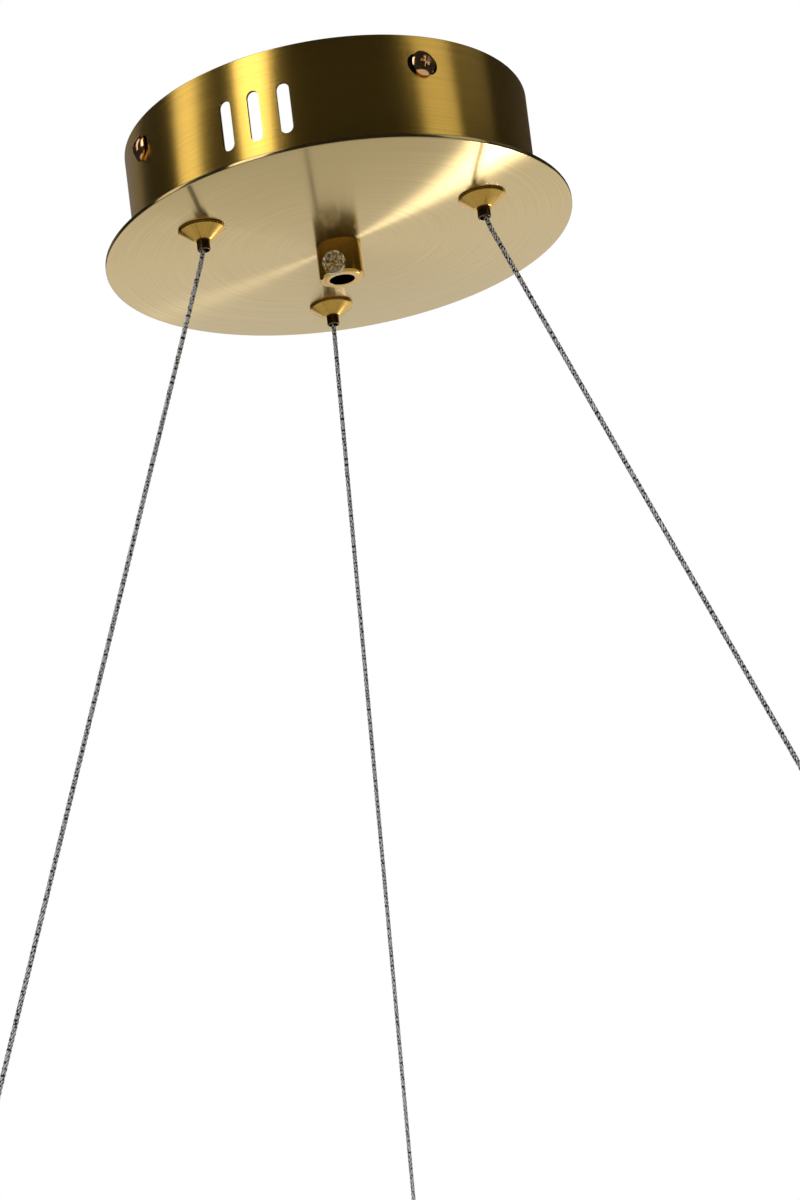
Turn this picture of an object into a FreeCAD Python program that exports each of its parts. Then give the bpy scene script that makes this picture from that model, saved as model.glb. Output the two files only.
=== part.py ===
import FreeCAD, Part
import math
import os
import re
import Sketcher

# Round ceiling canopy with three gripped steel ropes that carry a brushed brass LED ring.
# Millimetres. +Z is up, the origin is the middle of the ceiling plate's upper face.
# The three grippers stand 120 degrees apart and the first is on +Y.

SIZES = [
    # canopy shell
    ("disc_radius", 85.0, "bottom disc"),
    ("disc_thick", 1.5, "bottom disc"),
    ("disc_edge", 0.3, "broken lower edge of disc"),
    ("canopy_height", 40.9, "ceiling to underside of disc"),
    ("drum_radius", 73.4, "outside of drum wall"),
    ("drum_wall", 1.2, "drum sheet"),
    ("vent_width", 4.4, "vent slot"),
    ("vent_length", 17.3, "vent slot, end to end"),
    ("vent_rise", 20.2, "vent slot centre above underside of disc"),
    ("vent_azimuth", 246.8, "middle vent slot"),
    ("vent_step", 8.3, "angle from slot to slot"),
    # ceiling plate and side screws
    ("plate_thick", 1.5, "ceiling plate and its lugs"),
    ("plate_band", 17.5, "width of the ceiling plate's ring"),
    ("plate_gap", 0.7, "ceiling plate to drum wall"),
    ("lug_width", 14.0, "turned-down lug"),
    ("lug_drop", 16.0, "lug length below ceiling"),
    ("lug_inset", 0.4, "lug inside the edge of the ring"),
    ("side_screw_drop", 9.8, "screw axis below ceiling"),
    ("side_screw_azimuth", 23.4, "first side screw"),
    ("screw_radius", 1.95, "M4 shank"),
    ("thread_gap", 0.05, "shank to threaded hole"),
    ("clear_gap", 0.3, "shank to plain hole"),
    ("side_head_radius", 4.3, "dome head"),
    ("side_head_rise", 2.9, "dome head height"),
    ("side_head_rim", 0.9, "upright rim of the dome head"),
    ("side_slot_length", 11.3, "slot in the drum for a side screw, round the wall"),
    ("side_slot_height", 7.0, "slot in the drum for a side screw"),
    ("side_screw_length", 8.0, "shank under head"),
    ("recess_length", 4.0, "cross recess, end to end"),
    ("recess_width", 0.9, "cross recess"),
    ("recess_depth", 0.8, "cross recess below top of head"),
    ("ceiling_slot_width", 4.5, "slot for a ceiling screw"),
    ("ceiling_slot_length", 12.0, "slot end to end"),
    # disc fixings
    ("tab_width", 12.0, "drum tab"),
    ("tab_reach", 12.0, "drum tab, inwards"),
    ("tab_height", 9.0, "drum tab, up the wall"),
    ("tab_thick", 1.2, "drum tab"),
    ("tab_gap", 0.3, "tab to curved wall"),
    ("stud_inset", 8.0, "stud centre to drum wall"),
    ("stud_radius", 1.5, "weld stud"),
    ("stud_rise", 8.0, "weld stud above disc"),
    ("stud_nut_flats", 5.5, "M3 nut across flats"),
    ("stud_nut_thick", 2.4, "M3 nut"),
    ("tab_azimuth", 150.0, "first tab"),
    # grippers
    ("gripper_pitch", 57.3, "canopy axis to gripper axis"),
    ("cone_radius", 8.4, "cone at disc"),
    ("cone_rim", 0.8, "straight rim of cone"),
    ("cone_height", 4.2, "cone below disc"),
    ("cone_tip_radius", 3.2, "cone at nozzle"),
    ("barrel_radius", 5.0, "M10 barrel"),
    ("barrel_rise", 20.0, "barrel above underside of disc"),
    ("barrel_wall", 1.4, "barrel"),
    ("barrel_cap", 2.0, "closed end of barrel"),
    ("hex_flats", 14.0, "M10 nut across flats"),
    ("hex_thick", 4.0, "M10 nut"),
    ("washer_radius", 8.5, "M10 washer"),
    ("washer_thick", 1.0, "M10 washer"),
    ("nozzle_radius", 2.35, "plunger nozzle"),
    ("nozzle_drop", 7.6, "nozzle tip below disc"),
    ("nozzle_bore", 1.35, "plunger bore radius"),
    ("nozzle_flare", 1.9, "radius of the bore's mouth"),
    ("nozzle_flare_rise", 1.2, "height of the bore's mouth"),
    ("nozzle_edge", 0.2, "broken edge of nozzle"),
    ("slide_gap", 0.05, "plunger to cone"),
    ("collar_radius", 3.4, "plunger collar"),
    ("collar_thick", 1.5, "plunger collar"),
    ("plunger_rise", 12.0, "plunger top above underside of disc"),
    ("plunger_travel", 1.5, "plunger stroke"),
    ("ball_radius", 1.0, "gripping ball"),
    ("ball_gap", 0.05, "ball to rope"),
    ("cage_gap", 0.1, "ball to its window"),
    ("wedge_gap", 0.08, "ball to barrel"),
    ("rope_hole_gap", 0.4, "rope to hole in the barrel's end"),
    ("ball_rise", 9.8, "ball centres above underside of disc"),
    ("spring_wall", 0.5, "spring wire"),
    ("tail_rise", 34.0, "rope tail above underside of disc"),
    # ropes
    ("rope_radius", 0.9, "steel rope"),
    ("rope_drop", 588.4, "nozzle tip to anchor ball, downwards"),
    ("rope_gap", 0.35, "tail to rope and rope to ball"),
    # cord grip
    ("grip_radius", 8.2, "cord grip"),
    ("grip_drop", 12.4, "cord grip below disc"),
    ("grip_chamfer", 0.8, "cord grip lower edge"),
    ("grip_bore", 4.5, "cord grip bore radius"),
    ("grip_bore_depth", 10.0, "wide part of the bore"),
    ("grip_neck_bore", 3.6, "bore radius in the neck"),
    ("grip_neck_rise", 8.0, "threaded neck above underside of disc"),
    ("clamp_drop", 9.5, "clamp screw axis below disc"),
    ("clamp_azimuth", 251.6, "clamp screw direction"),
    ("clamp_head_radius", 4.2, "clamp screw head"),
    ("clamp_head_thick", 3.4, "clamp screw head"),
    ("clamp_stand_off", 0.4, "head to cord grip"),
    ("clamp_slot_width", 1.0, "slot in the head"),
    ("clamp_slot_depth", 1.2, "slot in the head"),
    # driver
    ("driver_length", 90.0, "driver case"),
    ("driver_width", 28.0, "driver case"),
    ("driver_height", 16.0, "driver case with lid"),
    ("driver_wall", 1.4, "driver case"),
    ("driver_place", 29.0, "driver centre on +Y"),
    ("board_thick", 1.6, "circuit board"),
    ("board_rise", 3.0, "board above case floor"),
    ("board_gap", 0.6, "board to case wall"),
    ("wire_hole", 2.6, "radius of wire outlet"),
    ("wire_hole_rise", 6.6, "wire outlet above disc"),
    ("foot_radius", 1.5, "board foot"),
    ("foot_end_inset", 8.0, "board foot to end of case"),
    ("foot_side_inset", 5.0, "board foot to side of case"),
    ("transformer_length", 16.0, "transformer"),
    ("transformer_width", 14.0, "transformer"),
    ("transformer_height", 8.0, "transformer"),
    ("transformer_x", 4.0, "transformer centre"),
    ("capacitor_radius", 3.5, "capacitor"),
    ("capacitor_height", 7.0, "capacitor"),
    ("terminal_length", 30.0, "terminal block"),
    ("terminal_width", 17.0, "terminal block"),
    ("terminal_height", 11.0, "terminal block"),
    ("terminal_x", 12.0, "terminal block centre"),
    ("terminal_y", -40.0, "terminal block centre"),
    ("terminal_pitch", 9.0, "pole to pole"),
    ("terminal_bore", 1.7, "wire entry radius"),
    ("terminal_screw", 1.5, "terminal screw radius"),
    ("terminal_screw_length", 3.2, "terminal screw"),
    ("terminal_well", 4.0, "depth of the wells of the terminal screws"),
    ("earth_x", -26.0, "earth post"),
    ("earth_y", -6.0, "earth post"),
    ("earth_rise", 9.0, "earth post above disc"),
    ("lead_radius", 0.9, "insulated lead"),
    ("lead_rise", 5.5, "leads and wire entries above disc"),
    ("lead_step", 2.6, "lead to lead, centre to centre"),
    ("lead_bend", 3.6, "inside bend of a lead, at its middle"),
    ("lead_row", -13.5, "earth lead, across the canopy"),
    ("lead_aisle", 3.0, "driver case to the nearest lead"),
    ("lead_grip", 3.0, "lead inside the terminal block"),
    ("connector_length", 9.0, "output connector"),
    ("connector_width", 8.0, "output connector"),
    ("connector_height", 7.0, "output connector"),
    ("connector_y", 7.5, "output connector centre"),
    # ring
    ("ring_radius", 300.0, "ring, outside"),
    ("ring_depth", 14.0, "ring section, radially"),
    ("ring_height", 36.0, "ring section, vertically"),
    ("ring_wall", 1.5, "ring sheet"),
    ("ring_seam", 0.06, "angle of the open seam"),
    ("seam_azimuth", 30.0, "seam"),
    ("anchor_radius", 5.5, "anchor"),
    ("anchor_rise", 7.0, "anchor above ring"),
    ("anchor_ball", 2.4, "rope end ball radius"),
    ("anchor_ball_rise", 3.6, "ball centre above ring"),
    ("anchor_ball_gap", 0.05, "ball to socket"),
    ("anchor_throat", 1.95, "throat radius"),
    ("anchor_mouth", 3.9, "mouth radius"),
    ("anchor_stud", 1.95, "anchor stud radius"),
    ("anchor_stud_drop", 7.0, "anchor stud below ring top"),
    ("anchor_chamfer", 0.6, "upper edge of anchor and inlet"),
    ("anchor_nut_flats", 7.0, "M4 nut across flats"),
    ("anchor_nut_thick", 3.2, "M4 nut"),
    ("diffuser_thick", 2.0, "diffuser"),
    ("diffuser_gap", 0.2, "diffuser to flange"),
    ("strip_thick", 0.4, "flexible board"),
    ("strip_width", 10.0, "flexible board"),
    ("strip_gap", 0.05, "adhesive under the board"),
    ("led_count", 60.0, "light emitting diodes"),
    ("led_size", 3.5, "diode, square"),
    ("led_thick", 0.8, "diode"),
    ("joiner_length", 60.0, "seam joiner"),
    ("joiner_height", 8.0, "seam joiner"),
    ("joiner_thick", 2.0, "seam joiner"),
    ("joiner_gap", 0.15, "seam joiner to channel"),
    ("joiner_drop", 1.0, "seam joiner below the upper flange"),
    ("joiner_screw_radius", 1.25, "joiner screw"),
    ("joiner_head_radius", 2.2, "joiner screw head"),
    ("joiner_head_thick", 1.4, "joiner screw head"),
    ("inlet_azimuth", 100.0, "cord inlet on the ring"),
    ("inlet_radius", 5.0, "cord inlet"),
    ("inlet_rise", 12.0, "cord inlet above ring"),
    ("inlet_bore", 3.0, "cord inlet bore radius"),
    ("inlet_neck", 3.9, "threaded neck radius"),
    ("inlet_neck_drop", 6.0, "threaded neck below ring top"),
    ("inlet_nut_flats", 9.4, "inlet nut across flats"),
    ("inlet_nut_thick", 2.5, "inlet nut"),
    ("inlet_screw_radius", 1.45, "inlet clamp screw"),
    ("inlet_screw_rise", 8.5, "inlet clamp screw above ring"),
    ("inlet_head_radius", 2.6, "inlet clamp screw head"),
    ("inlet_head_thick", 2.0, "inlet clamp screw head"),
    ("inlet_stand_off", 0.6, "head to inlet"),
    ("overlap", 0.1, "length by which joined shapes overlap"),
    ("reach", 2.0, "length by which a cutting shape stands proud"),
]

GRIPPERS = {1: 90.0, 2: 210.0, 3: 330.0}
THIRDS = (0, 120, 240)
QUARTERS = (0, 90, 180, 270)
CAPACITORS = ((-4, 1.4), (-7, -1.4), (7, 1.2))    # places on the board, in capacitor radii
Z_AXIS = FreeCAD.Vector(0, 0, 1)
Y_AXIS = FreeCAD.Vector(0, 1, 0)
X_AXIS = FreeCAD.Vector(1, 0, 0)

doc = FreeCAD.newDocument("RingChandelier")
sheet = doc.addObject("Spreadsheet::Sheet", "Sizes")
for row, (alias, size, meaning) in enumerate(SIZES, start=1):
    sheet.set(f"A{row}", alias)
    sheet.set(f"B{row}", str(size))
    sheet.set(f"C{row}", meaning)
    sheet.setAlias(f"B{row}", alias)
doc.recompute()
ALIASES = {alias for alias, size, meaning in SIZES}
nodes = []


# ---------------------------------------------------------------- helpers

def in_sheet(formula):
    """The formula with each alias written as a cell of the sheet."""
    def addressed(word):
        name = word.group()
        return f"Sizes.{name}" if name in ALIASES else name
    return re.sub(r"[a-z][a-z_0-9]*", addressed, formula)


def size_of(alias):
    """A size read from the sheet."""
    return float(sheet.get(alias))


def bind(item, formulas):
    """Tie each named property to its formula."""
    for name, formula in formulas.items():
        item.setExpression(name, in_sheet(formula))
    return item


def place(item, x="0", y="0", z="0"):
    """Tie the place of an item to three formulas."""
    return bind(item, {"Placement.Base.x": x, "Placement.Base.y": y, "Placement.Base.z": z})


def around(radius, azimuth, z):
    """Formulas for a point at a radius and azimuth about the canopy axis."""
    return {"x": f"({radius}) * cos({azimuth})", "y": f"({radius}) * sin({azimuth})", "z": z}


def turn(item, azimuth):
    """Tie a turn about +Z to a formula."""
    item.Placement = FreeCAD.Placement(FreeCAD.Vector(), FreeCAD.Rotation(Z_AXIS, 1.0))
    return bind(item, {"Placement.Rotation.Angle": azimuth})


def node(item, label):
    """Give an item its label and list it as a piece of its own."""
    item.Label = label
    nodes.append(item)
    return item


def rod(name, radius, height, **spot):
    """Upright cylinder that starts at its spot and goes up."""
    return place(bind(doc.addObject("Part::Cylinder", name), {"Radius": radius, "Height": height}), **spot)


def taper(name, low, high, height, **spot):
    """Upright cone frustum."""
    item = bind(doc.addObject("Part::Cone", name), {"Radius1": low, "Radius2": high, "Height": height})
    return place(item, **spot)


def ball(name, radius, **spot):
    return place(bind(doc.addObject("Part::Sphere", name), {"Radius": radius}), **spot)


def block(name, length, width, height, x="0", y="0", z="0"):
    """Box centred in X and Y that stands on z."""
    item = bind(doc.addObject("Part::Box", name), {"Length": length, "Width": width, "Height": height})
    return place(item, x=f"({x}) - ({length}) / 2", y=f"({y}) - ({width}) / 2", z=z)


def cross_rod(name, radius, length, x="0", y="0", z="0"):
    """Cylinder along +X that starts at its spot."""
    item = bind(doc.addObject("Part::Cylinder", name), {"Radius": radius, "Height": length})
    item.Placement = FreeCAD.Placement(FreeCAD.Vector(), FreeCAD.Rotation(Y_AXIS, 90))
    return place(item, x=x, y=y, z=z)


def hexagon(name, flats, height, **spot):
    """Six-sided upright prism, from its size across flats."""
    item = doc.addObject("Part::Prism", name)
    item.Polygon = 6
    return place(bind(item, {"Circumradius": f"({flats}) / 2 / cos(30)", "Height": height}), **spot)


def fused(name, *pieces):
    item = doc.addObject("Part::MultiFuse", name)
    item.Shapes = list(pieces)
    return item


def cut(name, base, *tools):
    item = doc.addObject("Part::Cut", name)
    item.Base = base
    item.Tool = tools[0] if len(tools) == 1 else fused(name + "_tools", *tools)
    return item


def group(name, pieces):
    """Several like solids kept as one piece."""
    item = doc.addObject("Part::Compound", name)
    item.Links = list(pieces)
    return item


def plane_of(body, role):
    for plane in body.Origin.OriginFeatures:
        if plane.Role == role:
            return plane
    raise ValueError(role)


def turned(name, outline, angle="360"):
    """Body turned about +Z from an outline of (radius, height) formulas."""
    body = doc.addObject("PartDesign::Body", name)
    sketch = body.newObject("Sketcher::SketchObject", name + "_outline")
    sketch.AttachmentSupport = (plane_of(body, "XZ_Plane"), "")
    sketch.MapMode = "FlatFace"
    count = len(outline)
    start = [FreeCAD.Vector(20 + 9 * math.cos(2 * math.pi * i / count), 9 * math.sin(2 * math.pi * i / count), 0)
             for i in range(count)]
    for i in range(count):
        sketch.addGeometry(Part.LineSegment(start[i], start[(i + 1) % count]), False)
    for i in range(count):
        sketch.addConstraint(Sketcher.Constraint("Coincident", i, 2, (i + 1) % count, 1))
    for i, (radius, height) in enumerate(outline):
        for kind, value, formula in (("DistanceX", start[i].x, radius), ("DistanceY", start[i].y, height)):
            index = sketch.addConstraint(Sketcher.Constraint(kind, -1, 1, i, 1, value))
            sketch.renameConstraint(index, f"{kind}{i}")
            sketch.setExpression(f"Constraints.{kind}{i}", in_sheet(formula))
    turned_solid = body.newObject("PartDesign::Revolution", name + "_turn")
    turned_solid.Profile = sketch
    turned_solid.ReferenceAxis = (sketch, ["V_Axis"])
    turned_solid.setExpression("Angle", in_sheet(angle))
    body.Tip = turned_solid
    return body


# ---------------------------------------------------------------- canopy shell

disc_under = "-canopy_height"
disc_top = "disc_thick - canopy_height"
drum_inside = "(drum_radius - drum_wall)"


def make_disc():
    """Flat spun disc with holes for the grippers and the cord grip."""
    sheet_metal = turned("disc_blank", [
        ("0", "0"), ("disc_radius - disc_edge", "0"), ("disc_radius", "disc_edge"),
        ("disc_radius", "disc_thick"), ("0", "disc_thick")])
    holes = [rod(f"disc_hole_{k}", "barrel_radius + slide_gap", "disc_thick + 2 * reach",
                 **around("gripper_pitch", azimuth, "-reach")) for k, azimuth in GRIPPERS.items()]
    holes.append(rod("disc_hole_grip", "barrel_radius + slide_gap", "disc_thick + 2 * reach", z="-reach"))
    place(node(cut("disc", sheet_metal, *holes), "canopy_disc"), z=disc_under)


def slot_tool(name, width, length, depth, x, z):
    """Upright obround that cuts along +X."""
    half = f"({length} - {width}) / 2"
    middle = place(bind(doc.addObject("Part::Box", name + "_middle"),
                        {"Length": depth, "Width": width, "Height": f"{length} - {width}"}),
                   x=x, y=f"-{width} / 2", z=f"{z} - {half}")
    top = cross_rod(name + "_top", f"{width} / 2", depth, x=x, z=f"{z} + {half}")
    low = cross_rod(name + "_low", f"{width} / 2", depth, x=x, z=f"{z} - {half}")
    return fused(name, middle, top, low)


def make_drum():
    """Round wall, open at both ends, with three upright vents and four level screw slots."""
    wall = turned("drum_wall_blank", [
        (drum_inside, disc_top), ("drum_radius", disc_top), ("drum_radius", "0"), (drum_inside, "0")])
    tools = []
    for k in (-1, 0, 1):
        tool = slot_tool(f"vent_{k + 2}", "vent_width", "vent_length", "drum_wall + 2 * reach",
                         f"{drum_inside} - reach", "vent_rise - canopy_height")
        tools.append(turn(tool, f"vent_azimuth + {k} * vent_step"))
    for k in QUARTERS:
        tool = slot_tool(f"screw_slot_{k}", "side_slot_height", "side_slot_length", "drum_wall + 2 * reach",
                         f"{drum_inside} - reach", "0")
        level = group(f"screw_slot_level_{k}", [tool])
        level.Placement = FreeCAD.Placement(FreeCAD.Vector(), FreeCAD.Rotation(X_AXIS, 90))
        place(level, z="-side_screw_drop")
        tools.append(turn(group(f"screw_slot_turned_{k}", [level]), f"side_screw_azimuth + {k}"))
    node(cut("drum", wall, *tools), "canopy_drum")


def make_ceiling_plate():
    """Flat ring screwed to the ceiling, with four threaded lugs turned down."""
    outside = f"({drum_inside} - plate_gap)"
    ring = turned("plate_blank", [
        (f"{outside} - plate_band", "-plate_thick"), (outside, "-plate_thick"),
        (outside, "0"), (f"{outside} - plate_band", "0")])
    pieces = [ring]
    holes = []
    for k in QUARTERS:
        lug = place(bind(doc.addObject("Part::Box", f"lug_{k}"),
                         {"Length": "plate_thick", "Width": "lug_width", "Height": "lug_drop"}),
                    x=f"{outside} - plate_thick - lug_inset", y="-lug_width / 2", z="-lug_drop")
        hole = cross_rod(f"lug_hole_{k}", "screw_radius + thread_gap", "plate_thick + 2 * reach",
                         x=f"{outside} - plate_thick - lug_inset - reach", z="-side_screw_drop")
        pieces.append(turn(cut(f"lug_cut_{k}", lug, hole), f"side_screw_azimuth + {k}"))
    for side in (-1, 1):
        centre = f"{side} * ({outside} - plate_band / 2)"
        half = "(ceiling_slot_length - ceiling_slot_width) / 2"
        middle = block(f"plate_slot_{side + 2}_middle", "ceiling_slot_length - ceiling_slot_width",
                       "ceiling_slot_width", "plate_thick + 2 * reach", x=centre, z="-plate_thick - reach")
        ends = [rod(f"plate_slot_{side + 2}_{end + 2}", "ceiling_slot_width / 2", "plate_thick + 2 * reach",
                    x=f"{centre} + {end} * {half}", z="-plate_thick - reach") for end in (-1, 1)]
        holes.extend([middle, *ends])
    node(cut("plate", fused("plate_with_lugs", *pieces), *holes), "ceiling_plate")


def make_side_screws():
    """Dome-headed M4 screws through the drum into the lugs."""
    screws = []
    for k in QUARTERS:
        dome_rise = "(side_head_rise - side_head_rim)"
        head_ball = f"((side_head_radius ^ 2 + {dome_rise} ^ 2) / 2 / {dome_rise})"
        dome = ball(f"side_dome_{k}", head_ball, x=f"side_head_rise - {head_ball}")
        keep = place(bind(doc.addObject("Part::Box", f"side_keep_{k}"),
                          {"Length": "side_head_rise", "Width": "3 * side_head_radius",
                           "Height": "3 * side_head_radius"}),
                     x="side_head_rim", y="-1.5 * side_head_radius", z="-1.5 * side_head_radius")
        head = doc.addObject("Part::Common", f"side_head_{k}")
        head.Base = dome
        head.Tool = keep
        rim = cross_rod(f"side_rim_{k}", "side_head_radius", "side_head_rim - slide_gap", x="slide_gap")
        shank = cross_rod(f"side_shank_{k}", "screw_radius", "side_screw_length + overlap", x="-side_screw_length")
        bars = [block(f"side_recess_{k}_{n}", "2 * recess_depth", wide, tall, x="side_head_rise",
                      z=f"-({tall}) / 2")
                for n, (wide, tall) in enumerate((("recess_length", "recess_width"),
                                                  ("recess_width", "recess_length")))]
        screw = cut(f"side_screw_{k}", fused(f"side_blank_{k}", head, rim, shank), *bars)
        azimuth = f"side_screw_azimuth + {k}"
        screws.append(place(turn(screw, azimuth), **around("drum_radius", azimuth, "-side_screw_drop")))
    node(group("side_screw_group", screws), "side_screws")


def make_disc_fixings():
    """Three angle tabs on the drum, weld studs on the disc and their nuts."""
    tabs, studs, nuts = [], [], []
    stud_pitch = f"({drum_inside} - stud_inset)"
    for k in THIRDS:
        azimuth = f"tab_azimuth + {k}"
        flat = place(bind(doc.addObject("Part::Box", f"tab_flat_{k}"),
                          {"Length": "tab_reach", "Width": "tab_width", "Height": "tab_thick"}),
                     x=f"{drum_inside} - tab_reach - tab_gap", y="-tab_width / 2", z=disc_top)
        upright = place(bind(doc.addObject("Part::Box", f"tab_upright_{k}"),
                             {"Length": "tab_thick", "Width": "tab_width", "Height": "tab_height"}),
                        x=f"{drum_inside} - tab_thick - tab_gap", y="-tab_width / 2", z=disc_top)
        hole = rod(f"tab_hole_{k}", "stud_radius + clear_gap", "tab_thick + 2 * reach", x=stud_pitch,
                   z=f"{disc_top} - reach")
        tabs.append(turn(cut(f"tab_{k}", fused(f"tab_blank_{k}", flat, upright), hole), azimuth))
        studs.append(rod(f"stud_{k}", "stud_radius", "stud_rise", **around(stud_pitch, azimuth, disc_top)))
        blank = hexagon(f"stud_nut_blank_{k}", "stud_nut_flats", "stud_nut_thick")
        bore = rod(f"stud_nut_bore_{k}", "stud_radius + thread_gap", "stud_nut_thick + 2 * reach", z="-reach")
        nuts.append(place(cut(f"stud_nut_{k}", blank, bore), **around(stud_pitch, azimuth, f"{disc_top} + tab_thick")))
    node(group("tab_group", tabs), "drum_tabs")
    node(group("stud_group", studs), "disc_studs")
    node(group("stud_nut_group", nuts), "disc_nuts")


# ---------------------------------------------------------------- grippers

def make_gripper(k, azimuth):
    """Cone, barrel, sprung plunger, balls and rope tail of one gripper."""
    spot = around("gripper_pitch", azimuth, disc_under)
    guide = "nozzle_radius + slide_gap"
    inside = "(barrel_radius - barrel_wall)"
    cone = turned(f"cone_{k}", [
        (guide, "-cone_height"), ("cone_tip_radius", "-cone_height"), ("cone_radius", "-cone_rim"),
        ("cone_radius", "0"), (guide, "0")])
    place(node(cone, f"gripper_cone_{k}"), **spot)

    throat = "rope_radius + 2 * ball_radius + wedge_gap"
    rope_hole = "rope_radius + rope_hole_gap"
    barrel = turned(f"barrel_{k}", [
        (inside, "0"), ("barrel_radius", "0"), ("barrel_radius", "barrel_rise"),
        (rope_hole, "barrel_rise"), (rope_hole, "barrel_rise - barrel_cap"),
        (inside, "barrel_rise - barrel_cap"), (inside, "ball_rise + 4 * ball_radius"),
        (throat, "ball_rise - ball_radius / 5"), (throat, "ball_rise - ball_radius"),
        (inside, "ball_rise - 2 * ball_radius")])
    place(node(barrel, f"gripper_barrel_{k}"), **spot)

    plunger_blank = turned(f"plunger_blank_{k}", [
        ("nozzle_flare", "-nozzle_drop"), ("nozzle_radius - nozzle_edge", "-nozzle_drop"),
        ("nozzle_radius", "nozzle_edge - nozzle_drop"), ("nozzle_radius", "slide_gap"), ("collar_radius", "slide_gap"),
        ("collar_radius", "slide_gap + collar_thick"), ("nozzle_radius", "slide_gap + collar_thick"),
        ("nozzle_radius", "plunger_rise"),
        ("nozzle_bore", "plunger_rise"), ("nozzle_bore", "nozzle_flare_rise - nozzle_drop")])
    ball_pitch = "(rope_radius + ball_radius + ball_gap)"
    windows = [turn(group(f"window_turned_{k}_{turn_by}", [
        cross_rod(f"window_{k}_{turn_by}", "ball_radius + cage_gap", "collar_radius", z="ball_rise")]), str(turn_by))
        for turn_by in THIRDS]
    place(node(cut(f"plunger_{k}", plunger_blank, *windows), f"gripper_plunger_{k}"), **spot)
    balls = [ball(f"ball_{k}_{turn_by}", "ball_radius", **around(ball_pitch, str(turn_by), "ball_rise"))
             for turn_by in THIRDS]
    place(node(group(f"balls_{k}", balls), f"gripper_balls_{k}"), **spot)

    spring_low = "plunger_rise + slide_gap"
    spring_high = "barrel_rise - barrel_cap - slide_gap"
    spring = turned(f"spring_{k}", [
        ("nozzle_radius - spring_wall", spring_low), ("nozzle_radius", spring_low),
        ("nozzle_radius", spring_high), ("nozzle_radius - spring_wall", spring_high)])
    place(node(spring, f"gripper_spring_{k}"), **spot)

    tail = rod(f"tail_{k}", "rope_radius", "tail_rise + nozzle_drop - rope_gap")
    place(node(tail, f"rope_tail_{k}"), **around("gripper_pitch", azimuth, f"{disc_under} - nozzle_drop + rope_gap"))


# ---------------------------------------------------------------- ropes

rope_spread = "(ring_radius - ring_depth / 2 - gripper_pitch)"
rope_length = f"sqrt({rope_spread} ^ 2 + rope_drop ^ 2)"
ring_top = "(-canopy_height - nozzle_drop - rope_drop - anchor_ball_rise)"


def make_rope(k, azimuth):
    """Straight taut stretch from the nozzle's mouth down to the anchor's ball."""
    item = doc.addObject("Part::Cylinder", f"rope_{k}")
    bind(item, {"Radius": "rope_radius", "Height": f"{rope_length} - anchor_ball - rope_gap"})
    lean = FreeCAD.Vector(math.sin(math.radians(azimuth)), -math.cos(math.radians(azimuth)), 0)
    item.Placement = FreeCAD.Placement(FreeCAD.Vector(), FreeCAD.Rotation(lean, 20))
    bind(item, {"Placement.Rotation.Angle": f"atan({rope_spread} / rope_drop)"})
    along = f"((anchor_ball + rope_gap) / {rope_length})"
    place(item, **around(f"ring_radius - ring_depth / 2 - {rope_spread} * {along}", azimuth,
                         f"{disc_under} - nozzle_drop - rope_drop * (1 - {along})"))
    node(item, f"suspension_rope_{k}")


# ---------------------------------------------------------------- cord grip

def make_cord_grip():
    """Round cord grip under the disc and its clear clamp screw."""
    blank = turned("grip_blank", [
        ("grip_bore", "-grip_drop"), ("grip_radius - grip_chamfer", "-grip_drop"),
        ("grip_radius", "grip_chamfer - grip_drop"), ("grip_radius", "0"), ("barrel_radius", "0"),
        ("barrel_radius", "grip_neck_rise"), ("grip_neck_bore", "grip_neck_rise"),
        ("grip_neck_bore", "grip_bore_depth - grip_drop"), ("grip_bore", "grip_bore_depth - grip_drop")])
    hole = turn(group("grip_screw_hole_turned", [
        cross_rod("grip_screw_hole", "screw_radius + thread_gap", "grip_radius + reach", z="-clamp_drop")]),
        "clamp_azimuth")
    place(node(cut("grip", blank, hole), "cord_grip"), z=disc_under)
    shank = cross_rod("clamp_shank", "screw_radius", "grip_radius + clamp_stand_off - grip_bore",
                      x="grip_bore + overlap", z="-clamp_drop")
    head = cross_rod("clamp_head", "clamp_head_radius", "clamp_head_thick",
                     x="grip_radius + clamp_stand_off", z="-clamp_drop")
    slot = block("clamp_slot", "2 * clamp_slot_depth", "3 * clamp_head_radius", "clamp_slot_width",
                 x="grip_radius + clamp_stand_off + clamp_head_thick", z="-clamp_drop - clamp_slot_width / 2")
    screw = cut("clamp", fused("clamp_blank", shank, head), slot)
    node(place(turn(screw, "clamp_azimuth"), z=disc_under), "cord_grip_screw")


def make_canopy_nuts():
    """M10 washers and nuts on the disc's upper side, for the three grippers and the cord grip."""
    washers, nuts = [], []
    spots = {k: around("gripper_pitch", azimuth, disc_top) for k, azimuth in GRIPPERS.items()}
    spots[0] = {"z": disc_top}
    for k, spot in spots.items():
        washer = cut(f"washer_{k}", rod(f"washer_blank_{k}", "washer_radius", "washer_thick"),
                     rod(f"washer_bore_{k}", "barrel_radius + clear_gap", "washer_thick + 2 * reach", z="-reach"))
        nut = cut(f"nut_{k}", hexagon(f"nut_blank_{k}", "hex_flats", "hex_thick", z="washer_thick"),
                  rod(f"nut_bore_{k}", "barrel_radius + thread_gap", "hex_thick + 2 * reach"))
        washers.append(place(washer, **spot))
        nuts.append(place(nut, **spot))
    node(group("washer_group", washers), "canopy_washers")
    node(group("nut_group", nuts), "canopy_nuts")


# ---------------------------------------------------------------- driver and wiring

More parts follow.
